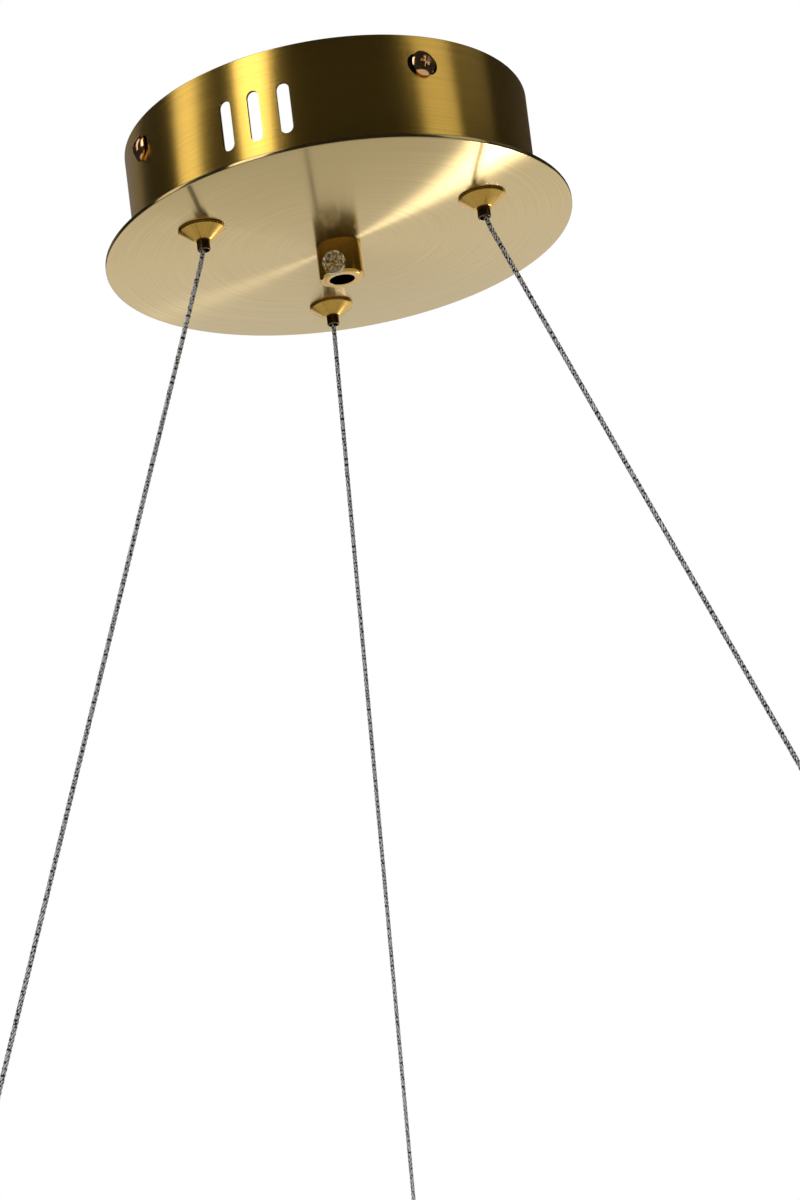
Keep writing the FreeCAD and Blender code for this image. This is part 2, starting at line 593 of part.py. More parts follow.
def make_driver():
    """Open tray, lid, board and parts of the LED driver, on the disc."""
    floor = disc_top
    tray = block("driver_block", "driver_length", "driver_width", "driver_height - driver_wall",
                 y="driver_place", z=floor)
    hollow = block("driver_hollow", "driver_length - 2 * driver_wall", "driver_width - 2 * driver_wall",
                   "driver_height", y="driver_place", z=f"{floor} + driver_wall")
    outlets = cross_rod("driver_outlets", "wire_hole", "driver_length + 2 * reach",
                        x="-driver_length / 2 - reach", y="driver_place", z=f"{floor} + wire_hole_rise")
    node(cut("driver_tray_cut", tray, hollow, outlets), "driver_case")
    lid = block("driver_lid_block", "driver_length", "driver_width", "driver_wall", y="driver_place",
                z=f"{floor} + driver_height - driver_wall")
    node(lid, "driver_lid")
    board = block("board_block", "driver_length - 2 * driver_wall - 2 * board_gap",
                  "driver_width - 2 * driver_wall - 2 * board_gap", "board_thick",
                  y="driver_place", z=f"{floor} + driver_wall + board_rise")
    feet = [rod(f"board_foot_{a + 1}_{b + 1}", "foot_radius", "board_rise + overlap",
                x=f"{a} * (driver_length / 2 - foot_end_inset)",
                y=f"driver_place + {b} * (driver_width / 2 - foot_side_inset)",
                z=f"{floor} + driver_wall") for a in (-1, 1) for b in (-1, 1)]
    node(fused("board_with_feet", board, *feet), "driver_board")
    board_top = f"{floor} + driver_wall + board_rise + board_thick"
    transformer = block("transformer_block", "transformer_length", "transformer_width", "transformer_height",
                        x="transformer_x", y="driver_place", z=board_top)
    capacitors = [rod(f"capacitor_{n}", "capacitor_radius", "capacitor_height",
                      x=f"{a} * capacitor_radius", y=f"driver_place + {b} * capacitor_radius", z=board_top)
                  for n, (a, b) in enumerate(CAPACITORS)]
    node(group("driver_parts_group", [transformer, *capacitors]), "driver_components")


def make_terminals():
    """Three-pole terminal block with its screws, and the earth post."""
    body = block("terminal_body", "terminal_length", "terminal_width", "terminal_height",
                 x="terminal_x", y="terminal_y", z=disc_top)
    bores, screws = [], []
    for pole in (-1, 0, 1):
        across = f"terminal_x + {pole} * terminal_pitch"
        entry = bind(doc.addObject("Part::Cylinder", f"terminal_entry_{pole + 2}"),
                     {"Radius": "terminal_bore", "Height": "terminal_width + 2 * reach"})
        entry.Placement = FreeCAD.Placement(FreeCAD.Vector(), FreeCAD.Rotation(X_AXIS, -90))
        bores.append(place(entry, x=across, y="terminal_y - terminal_width / 2 - reach",
                           z=f"{disc_top} + lead_rise"))
        for side in (-1, 1):
            depth = {"x": across, "y": f"terminal_y + {side} * terminal_width / 4",
                     "z": f"{disc_top} + terminal_height - terminal_well"}
            bores.append(rod(f"terminal_well_{pole + 2}_{side + 2}", "terminal_screw + slide_gap", "terminal_well + reach", **depth))
            screws.append(rod(f"terminal_screw_{pole + 2}_{side + 2}", "terminal_screw", "terminal_screw_length", **depth))
    node(cut("terminal", body, *bores), "terminal_block")
    node(group("terminal_screw_group", screws), "terminal_screws")
    post = fused("earth_fused", rod("earth_stud", "screw_radius", "earth_rise", x="earth_x", y="earth_y", z=disc_top),
                 hexagon("earth_nut", "anchor_nut_flats", "anchor_nut_thick", x="earth_x", y="earth_y", z=disc_top))
    node(post, "earth_post")


def lead(name, corners):
    """Level lead through a few corners, each at a right angle and rounded to an arc."""
    def formulas(corner):
        return {"x": corner[0], "y": corner[1], "z": f"{disc_top} + lead_rise"}

    def heading(here, there):
        along_x = here[1] == there[1]
        ahead = there[2] if len(there) > 2 else 1
        return (ahead, 0) if along_x else (0, ahead)

    pieces = []
    headings = [heading(here, there) for here, there in zip(corners, corners[1:])]
    for n, (here, there) in enumerate(zip(corners, corners[1:])):
        step_x, step_y = headings[n]
        before = "lead_bend" if n else "0"
        after = "lead_bend" if n < len(headings) - 1 else "0"
        axis = 0 if step_x else 1
        backward = step_x + step_y < 0
        start, end = (there, here) if backward else (here, there)
        gap = after if backward else before
        spot = list(start[:2])
        spot[axis] = f"({spot[axis]}) + {gap}"
        run = bind(doc.addObject("Part::Cylinder", f"{name}_run_{n}"), {
            "Radius": "lead_radius", "Height": f"({end[axis]}) - ({start[axis]}) - {before} - {after}"})
        lay = FreeCAD.Rotation(Y_AXIS, 90) if step_x else FreeCAD.Rotation(X_AXIS, -90)
        run.Placement = FreeCAD.Placement(FreeCAD.Vector(), lay)
        pieces.append(place(run, **formulas(spot)))
    for n, (came, goes) in enumerate(zip(headings, headings[1:]), start=1):
        bend = bind(doc.addObject("Part::Torus", f"{name}_bend_{n}"), {
            "Radius1": "lead_bend", "Radius2": "lead_radius"})
        bend.Angle3 = 90
        outward = (-goes[0], -goes[1])
        left = outward[0] * came[1] - outward[1] * came[0] > 0
        first = outward if left else came
        turn(bend, str(round(math.degrees(math.atan2(first[1], first[0])))))
        middle = [f"({corners[n][i]}) + {goes[i] - came[i]} * lead_bend" for i in (0, 1)]
        pieces.append(place(bend, **formulas(middle)))
    return fused(name, *pieces)


def make_leads():
    """Mains and earth leads from the terminal block, and the output leads with their connector.
    A third entry of a corner is -1 where the lead runs backwards along its axis to it."""
    end = "(terminal_y + terminal_width / 2 - lead_grip)"
    out = "(driver_length / 2 - driver_wall - board_gap / 2)"
    aisle = "(driver_length / 2 + lead_aisle)"
    mains = []
    for n, pole in ((1, 0), (2, -1)):
        side = f"driver_place + {2 * n - 3} * (lead_radius + ball_gap)"
        row = f"lead_row - {n} * lead_step"
        lane = f"-{aisle} - {n - 1} * lead_step"
        across = f"terminal_x + {pole} * terminal_pitch"
        mains.append(lead(f"mains_lead_{n}", [
            (f"-{out}", side), (lane, side, -1), (lane, row, -1), (across, row, 1), (across, end, -1)]))
    node(group("mains_lead_group", mains), "mains_leads")
    start = "(earth_x + screw_radius + thread_gap)"
    across = "terminal_x + terminal_pitch"
    drop = f"{start} + lead_bend + overlap"
    node(lead("earth_lead_run", [(start, "earth_y"), (drop, "earth_y", 1), (drop, "lead_row", -1),
                                 (across, "lead_row", 1), (across, end, -1)]), "earth_lead")
    outputs = []
    face = "(connector_y + connector_length / 2 + thread_gap)"
    for n in (1, 2):
        side = f"driver_place + {2 * n - 3} * (lead_radius + ball_gap)"
        lane = f"{aisle} + {n - 1} * lead_step"
        outputs.append(lead(f"output_lead_{n}", [(out, side), (lane, side, 1), (lane, face, -1)]))
    node(group("output_lead_group", outputs), "output_leads")
    connector = block("connector_block", "connector_width", "connector_length", "connector_height",
                      x=f"{aisle} + lead_step / 2", y="connector_y", z=disc_top)
    node(connector, "output_connector")


# ---------------------------------------------------------------- ring

section_inside = "(ring_radius - ring_depth)"
seam_angle = "360 - ring_seam"


def on_ring(item, label, azimuth="seam_azimuth + ring_seam / 2"):
    """Turn a piece of the ring so that its seam faces its azimuth, and lower it to the ring."""
    turn(item, azimuth)
    return place(node(item, label), z=ring_top)


def make_ring():
    """C-section rolled from brass-finished aluminium, open inwards, with one seam."""
    channel = turned("ring_blank", [
        ("ring_radius", "0"), ("ring_radius", "-ring_height"), (section_inside, "-ring_height"),
        (section_inside, "ring_wall - ring_height"), ("ring_radius - ring_wall", "ring_wall - ring_height"),
        ("ring_radius - ring_wall", "-ring_wall"), (section_inside, "-ring_wall"), (section_inside, "0")],
        seam_angle)
    turn(channel, "seam_azimuth + ring_seam / 2")
    holes = [rod(f"ring_hole_{k}", "anchor_stud + clear_gap", "ring_wall + 2 * reach",
                 **around("ring_radius - ring_depth / 2", azimuth, "-ring_wall - reach"))
             for k, azimuth in GRIPPERS.items()]
    holes.append(rod("ring_hole_inlet", "inlet_neck + slide_gap", "ring_wall + 2 * reach",
                     **around("ring_radius - ring_depth / 2", "inlet_azimuth", "-ring_wall - reach")))
    place(node(cut("ring", channel, *holes), "ring_channel"), z=ring_top)

    edge = "ring_wall + diffuser_gap"
    diffuser = turned("diffuser", [
        (section_inside, f"-({edge})"), (f"{section_inside} + diffuser_thick", f"-({edge})"),
        (f"{section_inside} + diffuser_thick", f"{edge} - ring_height"), (section_inside, f"{edge} - ring_height")],
        seam_angle)
    on_ring(diffuser, "ring_diffuser")

    back = "(ring_radius - ring_wall - strip_gap)"
    strip = turned("strip", [
        (f"{back} - strip_thick", "-(ring_height - strip_width) / 2"), (back, "-(ring_height - strip_width) / 2"),
        (back, "-(ring_height + strip_width) / 2"), (f"{back} - strip_thick", "-(ring_height + strip_width) / 2")],
        seam_angle)
    on_ring(strip, "led_strip")
    make_leds()
    make_joiner()


def make_leds():
    """Diodes in one row on the flexible board, evenly spaced, none on the seam."""
    side, thick = size_of("led_size"), size_of("led_thick")
    count = int(size_of("led_count"))
    face = size_of("ring_radius") - size_of("ring_wall") - size_of("strip_gap") - size_of("strip_thick")
    inset = math.sqrt(face ** 2 - side ** 2 / 4) - 0.01
    diodes = []
    for n in range(count):
        diode = Part.makeBox(thick, side, side, FreeCAD.Vector(inset - thick, -side / 2, -side / 2))
        diode.rotate(FreeCAD.Vector(), Z_AXIS, (n + 0.5) * 360.0 / count)
        diodes.append(diode)
    leds = doc.addObject("Part::Feature", "leds")
    leds.Shape = Part.makeCompound(diodes)
    turn(leds, "seam_azimuth")
    place(node(leds, "led_diodes"), z=f"{ring_top} - ring_height / 2")


def make_joiner():
    """Curved plate that bridges the seam inside the channel, with four screws."""
    back = "(ring_radius - ring_wall - joiner_gap)"
    sweep = "joiner_length / ring_radius * 180 / pi"
    low, high = "-ring_wall - joiner_drop - joiner_height", "-ring_wall - joiner_drop"
    plate = turned("joiner", [
        (f"{back} - joiner_thick", high), (back, high), (back, low), (f"{back} - joiner_thick", low)], sweep)
    turn(plate, f"seam_azimuth - {sweep} / 2")
    holes, screws = [], []
    for n in range(4):
        azimuth = f"seam_azimuth + {n - 1.5} * {sweep} / 4"
        middle = f"{high} - joiner_height / 2"
        hole = cross_rod(f"joiner_hole_{n}", "joiner_screw_radius + slide_gap", "joiner_thick + 2 * reach",
                         x=f"{back} - joiner_thick - reach", z=middle)
        shank = cross_rod(f"joiner_shank_{n}", "joiner_screw_radius", "joiner_thick",
                          x=f"{back} - joiner_thick - overlap", z=middle)
        head = cross_rod(f"joiner_head_{n}", "joiner_head_radius", "joiner_head_thick",
                         x=f"{back} - joiner_thick - joiner_head_thick - slide_gap", z=middle)
        screw = fused(f"joiner_screw_{n}", shank, head)
        holes.append(turn(group(f"joiner_hole_turned_{n}", [hole]), azimuth))
        screws.append(turn(screw, azimuth))
    place(node(cut("joiner_cut", plate, *holes), "seam_joiner"), z=ring_top)
    place(node(group("joiner_screw_group", screws), "joiner_screws"), z=ring_top)


def make_anchor(k, azimuth):
    """Socket on the ring's top flange, with its stud, nut and the rope's end ball."""
    spot = around("ring_radius - ring_depth / 2", azimuth, ring_top)
    socket = "anchor_ball + anchor_ball_gap"
    blank = turned(f"anchor_blank_{k}", [
        ("0", "-anchor_stud_drop"), ("anchor_stud", "-anchor_stud_drop"), ("anchor_stud", "0"),
        ("anchor_radius", "0"), ("anchor_radius", "anchor_rise - anchor_chamfer"),
        ("anchor_radius - anchor_chamfer", "anchor_rise"), ("0", "anchor_rise")])
    throat_rise = f"sqrt(({socket}) ^ 2 - anchor_throat ^ 2)"
    room = ball(f"anchor_room_{k}", socket, z="anchor_ball_rise")
    mouth = taper(f"anchor_mouth_{k}", "anchor_throat", "anchor_mouth",
                  f"anchor_rise - anchor_ball_rise - {throat_rise}",
                  z=f"anchor_ball_rise + {throat_rise}")
    place(node(cut(f"anchor_{k}", blank, room, mouth), f"ring_anchor_{k}"), **spot)
    node(ball(f"end_ball_{k}", "anchor_ball", x=spot["x"], y=spot["y"], z=f"{ring_top} + anchor_ball_rise"),
         f"rope_end_{k}")


def make_ring_fixings():
    """Nuts of the anchors, and the ring's own cord inlet with its nut and clamp screw."""
    nuts = []
    for k, azimuth in GRIPPERS.items():
        blank = hexagon(f"anchor_nut_blank_{k}", "anchor_nut_flats", "anchor_nut_thick")
        bore = rod(f"anchor_nut_bore_{k}", "anchor_stud + thread_gap", "anchor_nut_thick + 2 * reach", z="-reach")
        nuts.append(place(cut(f"anchor_nut_{k}", blank, bore),
                          **around("ring_radius - ring_depth / 2", azimuth,
                                   f"{ring_top} - ring_wall - anchor_nut_thick")))
    node(group("anchor_nut_group", nuts), "anchor_nuts")

    spot = around("ring_radius - ring_depth / 2", "inlet_azimuth", ring_top)
    blank = turned("inlet_blank", [
        ("inlet_bore", "-inlet_neck_drop"), ("inlet_neck", "-inlet_neck_drop"), ("inlet_neck", "0"),
        ("inlet_radius", "0"), ("inlet_radius", "inlet_rise - anchor_chamfer"),
        ("inlet_radius - anchor_chamfer", "inlet_rise"), ("inlet_bore", "inlet_rise")])
    hole = cross_rod("inlet_hole", "inlet_screw_radius + thread_gap", "inlet_radius + reach",
                     x="-inlet_radius - reach", z="inlet_screw_rise")
    inlet = cut("inlet", blank, hole)
    node(place(turn(inlet, "inlet_azimuth"), **spot), "ring_inlet")
    nut_blank = hexagon("inlet_nut_blank", "inlet_nut_flats", "inlet_nut_thick")
    nut = cut("inlet_nut", nut_blank, rod("inlet_nut_bore", "inlet_neck + thread_gap", "inlet_nut_thick + 2 * reach", z="-reach"))
    place(node(nut, "ring_inlet_nut"), **around("ring_radius - ring_depth / 2", "inlet_azimuth",
                                                f"{ring_top} - ring_wall - inlet_nut_thick"))
    screw = fused("inlet_screw",
                  cross_rod("inlet_shank", "inlet_screw_radius", "inlet_radius - inlet_bore + inlet_stand_off",
                            x="-inlet_radius - inlet_stand_off - overlap", z="inlet_screw_rise"),
                  cross_rod("inlet_head", "inlet_head_radius", "inlet_head_thick",
                            x="-inlet_radius - inlet_stand_off - inlet_head_thick", z="inlet_screw_rise"))
    node(place(turn(screw, "inlet_azimuth"), **spot), "ring_inlet_screw")


# ---------------------------------------------------------------- build

make_disc()
make_drum()
make_ceiling_plate()
make_side_screws()
make_disc_fixings()
for number, azimuth in GRIPPERS.items():
    make_gripper(number, azimuth)
    make_rope(number, azimuth)
    make_anchor(number, azimuth)
make_cord_grip()
make_canopy_nuts()
make_driver()
make_terminals()
make_leads()
make_ring()
make_ring_fixings()

doc.recompute()
for item in doc.Objects:
    if "Invalid" in item.State or "Error" in item.State:
        raise ValueError(f"{item.Name} did not build")

os.makedirs("parts", exist_ok=True)
for item in nodes:
    shape = item.Shape
    if shape.isNull() or not shape.isValid():
        raise ValueError(f"{item.Label} is not a valid solid")
    shape.exportStep(f"parts/{item.Label}.step")
    print(f"{item.Label}: {len(shape.Solids)} solids, {shape.Volume / 1000:.3f} cm3")
print(f"{len(nodes)} pieces")
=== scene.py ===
import math

import bmesh
import bpy
from mathutils import Matrix, Vector


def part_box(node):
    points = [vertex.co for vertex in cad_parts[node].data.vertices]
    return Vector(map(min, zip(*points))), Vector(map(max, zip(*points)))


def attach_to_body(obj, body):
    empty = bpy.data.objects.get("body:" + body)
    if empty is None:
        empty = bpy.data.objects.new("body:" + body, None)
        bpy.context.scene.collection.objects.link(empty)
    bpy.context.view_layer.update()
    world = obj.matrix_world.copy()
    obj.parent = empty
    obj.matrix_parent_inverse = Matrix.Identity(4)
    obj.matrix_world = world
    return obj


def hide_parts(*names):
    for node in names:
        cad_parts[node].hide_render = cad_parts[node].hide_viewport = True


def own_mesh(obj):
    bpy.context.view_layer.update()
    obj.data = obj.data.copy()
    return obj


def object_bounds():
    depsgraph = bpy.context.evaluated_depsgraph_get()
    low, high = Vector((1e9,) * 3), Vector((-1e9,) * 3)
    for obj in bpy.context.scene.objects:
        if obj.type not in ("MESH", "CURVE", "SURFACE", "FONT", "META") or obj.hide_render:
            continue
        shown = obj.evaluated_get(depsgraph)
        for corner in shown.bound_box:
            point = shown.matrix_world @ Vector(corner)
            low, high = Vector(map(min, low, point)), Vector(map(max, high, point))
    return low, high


bl_info = {
    "name": "LED Ring Chandelier",
    "version": (1, 0, 0),
    "blender": (4, 5, 0),
    "location": "3D View > Sidebar > Chandelier",
    "description": "Brushed brass canopy, steel ropes and LED ring around the packed frame",
    "category": "Add Mesh",
}

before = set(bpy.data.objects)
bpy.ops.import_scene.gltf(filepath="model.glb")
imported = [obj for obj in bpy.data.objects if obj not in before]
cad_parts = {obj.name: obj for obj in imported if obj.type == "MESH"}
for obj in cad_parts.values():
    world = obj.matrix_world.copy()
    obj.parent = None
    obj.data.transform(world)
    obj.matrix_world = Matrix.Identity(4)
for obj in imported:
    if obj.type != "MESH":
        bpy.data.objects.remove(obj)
CAD_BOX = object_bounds()
MM = 0.001
AXIS_GAP = 1e-5   # metres that a turned outline keeps off its axis, so its faces stay whole


# ---------------------------------------------------------------- colours and settings

def linear(hex_colour):
    """An sRGB hex colour as linear red, green, blue and alpha."""
    def channel(start):
        part = int(hex_colour[start:start + 2], 16) / 255
        return part / 12.92 if part <= 0.04045 else ((part + 0.055) / 1.055) ** 2.4
    return (channel(1), channel(3), channel(5), 1.0)


def colour_setting(name, description, hex_colour):
    """A colour that a user can change."""
    return bpy.props.FloatVectorProperty(
        name=name, description=description, subtype="COLOR", size=4, min=0, max=1,
        default=linear(hex_colour))


def length_setting(name, description, millimetres):
    """A length that a user can change."""
    return bpy.props.FloatProperty(
        name=name, description=description, unit="LENGTH", min=0, default=millimetres * MM)


class CanopySettings(bpy.types.PropertyGroup):
    """Sizes of the canopy that the frame's boxes don't give."""
    drum_wall: length_setting("Drum wall", "Thickness of the drum's sheet", 1.2)
    vent_width: length_setting("Vent width", "Width of a vent slot", 4.4)
    vent_length: length_setting("Vent length", "End to end length of a vent slot", 17.3)
    vent_rise: length_setting("Vent rise", "Vent centre above the disc's underside", 20.2)
    screw_slot_length: length_setting(
        "Screw slot length", "Level slot for a side screw, round the wall", 11.3)
    screw_slot_height: length_setting(
        "Screw slot height", "Level slot for a side screw, upright", 7)
    # Real brush marks are about 0.05 mm apart. They are drawn coarser, so that they show.
    brush_pitch: length_setting("Brush pitch", "Spacing of the brush marks as drawn", 0.3)


class RopeSettings(bpy.types.PropertyGroup):
    """Make-up of the steel rope."""
    strand_count: bpy.props.IntProperty(
        name="Strands", description="Outer strands of the rope", min=3, default=6)
    lay_length: length_setting("Lay length", "Length of one turn of a strand", 12)
    sample: length_setting("Sample", "Distance between sections of a strand", 1.0)


class RingSettings(bpy.types.PropertyGroup):
    """Sizes of the ring that the frame's boxes don't give."""
    wall: length_setting("Wall", "Thickness of the channel's wall", 1.5)
    depth: length_setting("Depth", "Radial depth of the channel", 14)


class FinishSettings(bpy.types.PropertyGroup):
    """Colours of the finishes."""
    drum_brass: colour_setting("Drum brass", "Brushed and lacquered brass of the drum", "#E8BC58")
    disc_brass: colour_setting("Disc brass", "Spun champagne brass of the disc", "#BCA570")
    ring_brass: colour_setting("Ring brass", "Brass-coloured lacquer on the ring", "#D2A95E")
    polished_brass: colour_setting("Polished brass", "Turned brass", "#C09A4A")
    bronze: colour_setting("Bronze", "Dark bronzed nozzle", "#725A38")
    copper: colour_setting("Copper", "Copper-coloured screw plating", "#E0B080")
    steel: colour_setting("Steel", "Galvanised steel rope", "#F2F2F0")
    zinc: colour_setting("Zinc", "Zinc plating", "#C8CACB")


# ---------------------------------------------------------------- finishes

BRUSH_LENGTH = 110 * MM     # how far one brush or tool mark runs
TOOL_MARK = 0.25 * MM       # feed of the turning tool, drawn coarser so that it shows
PAINTED_GLINT_MARK = 1.1 * MM        # length of a painted glint dash on a strand, drawn coarser than a wire
PATCH = 45 * MM             # width of the duller patches in the lacquer
WEAR = 3 * MM               # width of the duller patches on turned brass
ZINC_GRAIN = 1.2 * MM       # grain of the rope's zinc skin
FLOW_MARK = 1.5 * MM        # width of the flow lines in clear plastic
OPAL_GRAIN = 0.8 * MM       # satin grain of the diffuser, drawn coarser so that it shows
OPAL_DRIFT = 60 * MM        # length over which the diffuser's tone drifts
OPAL_SCATTER = 4 * MM       # how far light spreads inside the diffuser
MOULD_GRAIN = 0.5 * MM      # spark-eroded grain of moulded plastic
WEAVE = 1 * MM              # glass weave of a circuit board
FELT_NAP = 4 * MM           # tufts of the felt
PAPER_GRAIN = 15 * MM       # mottle of the paper floor, drawn coarser so that it shows
ACROSS_MARKS = 0.25         # quarter turn: a highlight is drawn out across the marks
PAINTED_BORE_SHADE = "#141318"      # painted shade for the inside of a bore
PAINTED_GROOVE_SHADE = "#303236"   # painted shade between the rope's strands


def add(tree, kind, settings=None, inputs=None, output=0):
    """Add one node, set its properties, fill or link its inputs, and give back an output."""
    item = tree.nodes.new(kind)
    for name, value in (settings or {}).items():
        setattr(item, name, value)
    for name, value in (inputs or {}).items():
        if isinstance(value, bpy.types.NodeSocket):
            tree.links.new(value, item.inputs[name])
        else:
            item.inputs[name].default_value = value
    return item.outputs[output] if item.outputs else None


def new_finish(name):
    """Empty material and its node tree."""
    material = bpy.data.materials.new(name)
    material.use_nodes = True
    material.node_tree.nodes.clear()
    return material, material.node_tree


def shade(colour, factor):
    """The colour, darker or lighter."""
    return (*(min(1.0, part * factor) for part in colour[:3]), 1.0)


def wall_marks(tree, pitch):
    """Brush marks that run round a wall: fine along Z, long round the axis."""
    place = add(tree, "ShaderNodeTexCoord", output="Object")
    drawn = add(tree, "ShaderNodeVectorMath", {"operation": "MULTIPLY"}, {
        0: place, 1: (1 / BRUSH_LENGTH, 1 / BRUSH_LENGTH, 1 / pitch)})
    return add(tree, "ShaderNodeTexNoise", inputs={
        "Vector": drawn, "Scale": 1.0, "Detail": 2.0, "Roughness": 0.6})


def disc_marks(tree, pitch):
    """Brush marks that run in circles on a flat face: fine along the radius."""
    place = add(tree, "ShaderNodeTexCoord", output="Object")
    flat = add(tree, "ShaderNodeVectorMath", {"operation": "MULTIPLY"}, {0: place, 1: (1, 1, 0)})
    radius = add(tree, "ShaderNodeVectorMath", {"operation": "LENGTH"}, {0: flat}, "Value")
    around = add(tree, "ShaderNodeVectorMath", {"operation": "NORMALIZE"}, {0: flat})
    lines = add(tree, "ShaderNodeMath", {"operation": "DIVIDE"}, {0: radius, 1: pitch})
    along = add(tree, "ShaderNodeCombineXYZ", inputs={"Z": lines})
    drawn = add(tree, "ShaderNodeVectorMath", {"operation": "ADD"}, {0: around, 1: along})
    return add(tree, "ShaderNodeTexNoise", inputs={
        "Vector": drawn, "Scale": 1.0, "Detail": 2.0, "Roughness": 0.6})


def brushed_metal(name, colour, marks_of, pitch, roughness, anisotropy, contrast, depth):
    """Brushed and lacquered metal. The brush lines show as fine streaks, and they draw a
    highlight out across themselves: into upright bands on a wall, into wedges on a disc."""
    material, tree = new_finish(name)
    marks = marks_of(tree, pitch)
    place = add(tree, "ShaderNodeTexCoord", output="Object")
    patches = add(tree, "ShaderNodeTexNoise", inputs={
        "Vector": place, "Scale": 1 / PATCH, "Detail": 2.0})
    streaks = add(tree, "ShaderNodeMix", {"data_type": "RGBA"}, {
        0: marks, 6: shade(colour, 1 - 2 * contrast), 7: shade(colour, 1 + 2 * contrast)}, 2)
    dull = add(tree, "ShaderNodeMapRange", inputs={
        "Value": patches, "From Min": 0.35, "From Max": 0.75, "To Min": 0.0, "To Max": 0.12})
    toned = add(tree, "ShaderNodeMix", {"data_type": "RGBA"}, {
        0: dull, 6: streaks, 7: shade(colour, 0.75)}, 2)
    gloss = add(tree, "ShaderNodeMapRange", inputs={
        "Value": marks, "From Min": 0.3, "From Max": 0.7,
        "To Min": roughness * 0.95, "To Max": roughness * 1.05})
    bump = add(tree, "ShaderNodeBump", inputs={
        "Strength": depth, "Distance": 0.03 * MM, "Height": marks})
    round_z = add(tree, "ShaderNodeTangent", {"direction_type": "RADIAL", "axis": "Z"})
    shader = add(tree, "ShaderNodeBsdfPrincipled", inputs={
        "Base Color": toned, "Metallic": 1.0, "Roughness": gloss, "Anisotropic": anisotropy,
        "Anisotropic Rotation": ACROSS_MARKS, "Normal": bump, "Tangent": round_z})
    add(tree, "ShaderNodeOutputMaterial", inputs={"Surface": shader})
    return material


def turned_metal(name, colour, roughness, anisotropy=0.7, bore=0.0):
    """Turned metal. Tool marks round the axis draw the highlights out into a fan, small
    patches are duller, and painted shade colours the bore black."""
    material, tree = new_finish(name)
    place = add(tree, "ShaderNodeTexCoord", output="Object")
    drawn = add(tree, "ShaderNodeVectorMath", {"operation": "MULTIPLY"}, {
        0: place, 1: (1 / BRUSH_LENGTH, 1 / BRUSH_LENGTH, 1 / TOOL_MARK)})
    rings = add(tree, "ShaderNodeTexNoise", inputs={
        "Vector": drawn, "Scale": 1.0, "Detail": 2.0})
    wear = add(tree, "ShaderNodeTexNoise", inputs={
        "Vector": place, "Scale": 1 / WEAR, "Detail": 3.0})
    worn = add(tree, "ShaderNodeMix", {"data_type": "RGBA"}, {
        0: wear, 6: shade(colour, 0.86), 7: shade(colour, 1.14)}, 2)
    flat = add(tree, "ShaderNodeVectorMath", {"operation": "MULTIPLY"}, {0: place, 1: (1, 1, 0)})
    radius = add(tree, "ShaderNodeVectorMath", {"operation": "LENGTH"}, {0: flat}, "Value")
    # painted shade: within the bore's radius the colour is painted near-black
    outside = add(tree, "ShaderNodeMath", {"operation": "GREATER_THAN"}, {0: radius, 1: bore})
    toned = add(tree, "ShaderNodeMix", {"data_type": "RGBA"}, {
        0: outside, 6: linear(PAINTED_BORE_SHADE), 7: worn}, 2)
    gloss = add(tree, "ShaderNodeMapRange", inputs={
        "Value": wear, "From Min": 0.3, "From Max": 0.7,
        "To Min": roughness * 0.85, "To Max": roughness * 1.15})
    bump = add(tree, "ShaderNodeBump", inputs={
        "Strength": 0.06, "Distance": 0.01 * MM, "Height": rings})
    round_z = add(tree, "ShaderNodeTangent", {"direction_type": "RADIAL", "axis": "Z"})
    shader = add(tree, "ShaderNodeBsdfPrincipled", inputs={
        "Base Color": toned, "Metallic": 1.0, "Roughness": gloss, "Anisotropic": anisotropy,
        "Anisotropic Rotation": ACROSS_MARKS, "Normal": bump, "Tangent": round_z})
    add(tree, "ShaderNodeOutputMaterial", inputs={"Surface": shader})
    return material


def plated_metal(name, colour, roughness, grain, contrast):
    """Plated or drawn metal. Cloudy patches differ a little in tone and gloss."""
    material, tree = new_finish(name)
    place = add(tree, "ShaderNodeTexCoord", output="Object")
    cloud = add(tree, "ShaderNodeTexNoise", inputs={
        "Vector": place, "Scale": 1 / grain, "Detail": 4.0})
    toned = add(tree, "ShaderNodeMix", {"data_type": "RGBA"}, {
        0: cloud, 6: shade(colour, 1 - contrast), 7: shade(colour, 1 + contrast)}, 2)
    gloss = add(tree, "ShaderNodeMapRange", inputs={
        "Value": cloud, "From Min": 0.3, "From Max": 0.7,
        "To Min": roughness * 0.8, "To Max": roughness * 1.2})
    bump = add(tree, "ShaderNodeBump", inputs={
        "Strength": 0.1, "Distance": 0.02 * MM, "Height": cloud})
    shader = add(tree, "ShaderNodeBsdfPrincipled", inputs={
        "Base Color": toned, "Metallic": 1.0, "Roughness": gloss, "Normal": bump})
    add(tree, "ShaderNodeOutputMaterial", inputs={"Surface": shader})
    return material


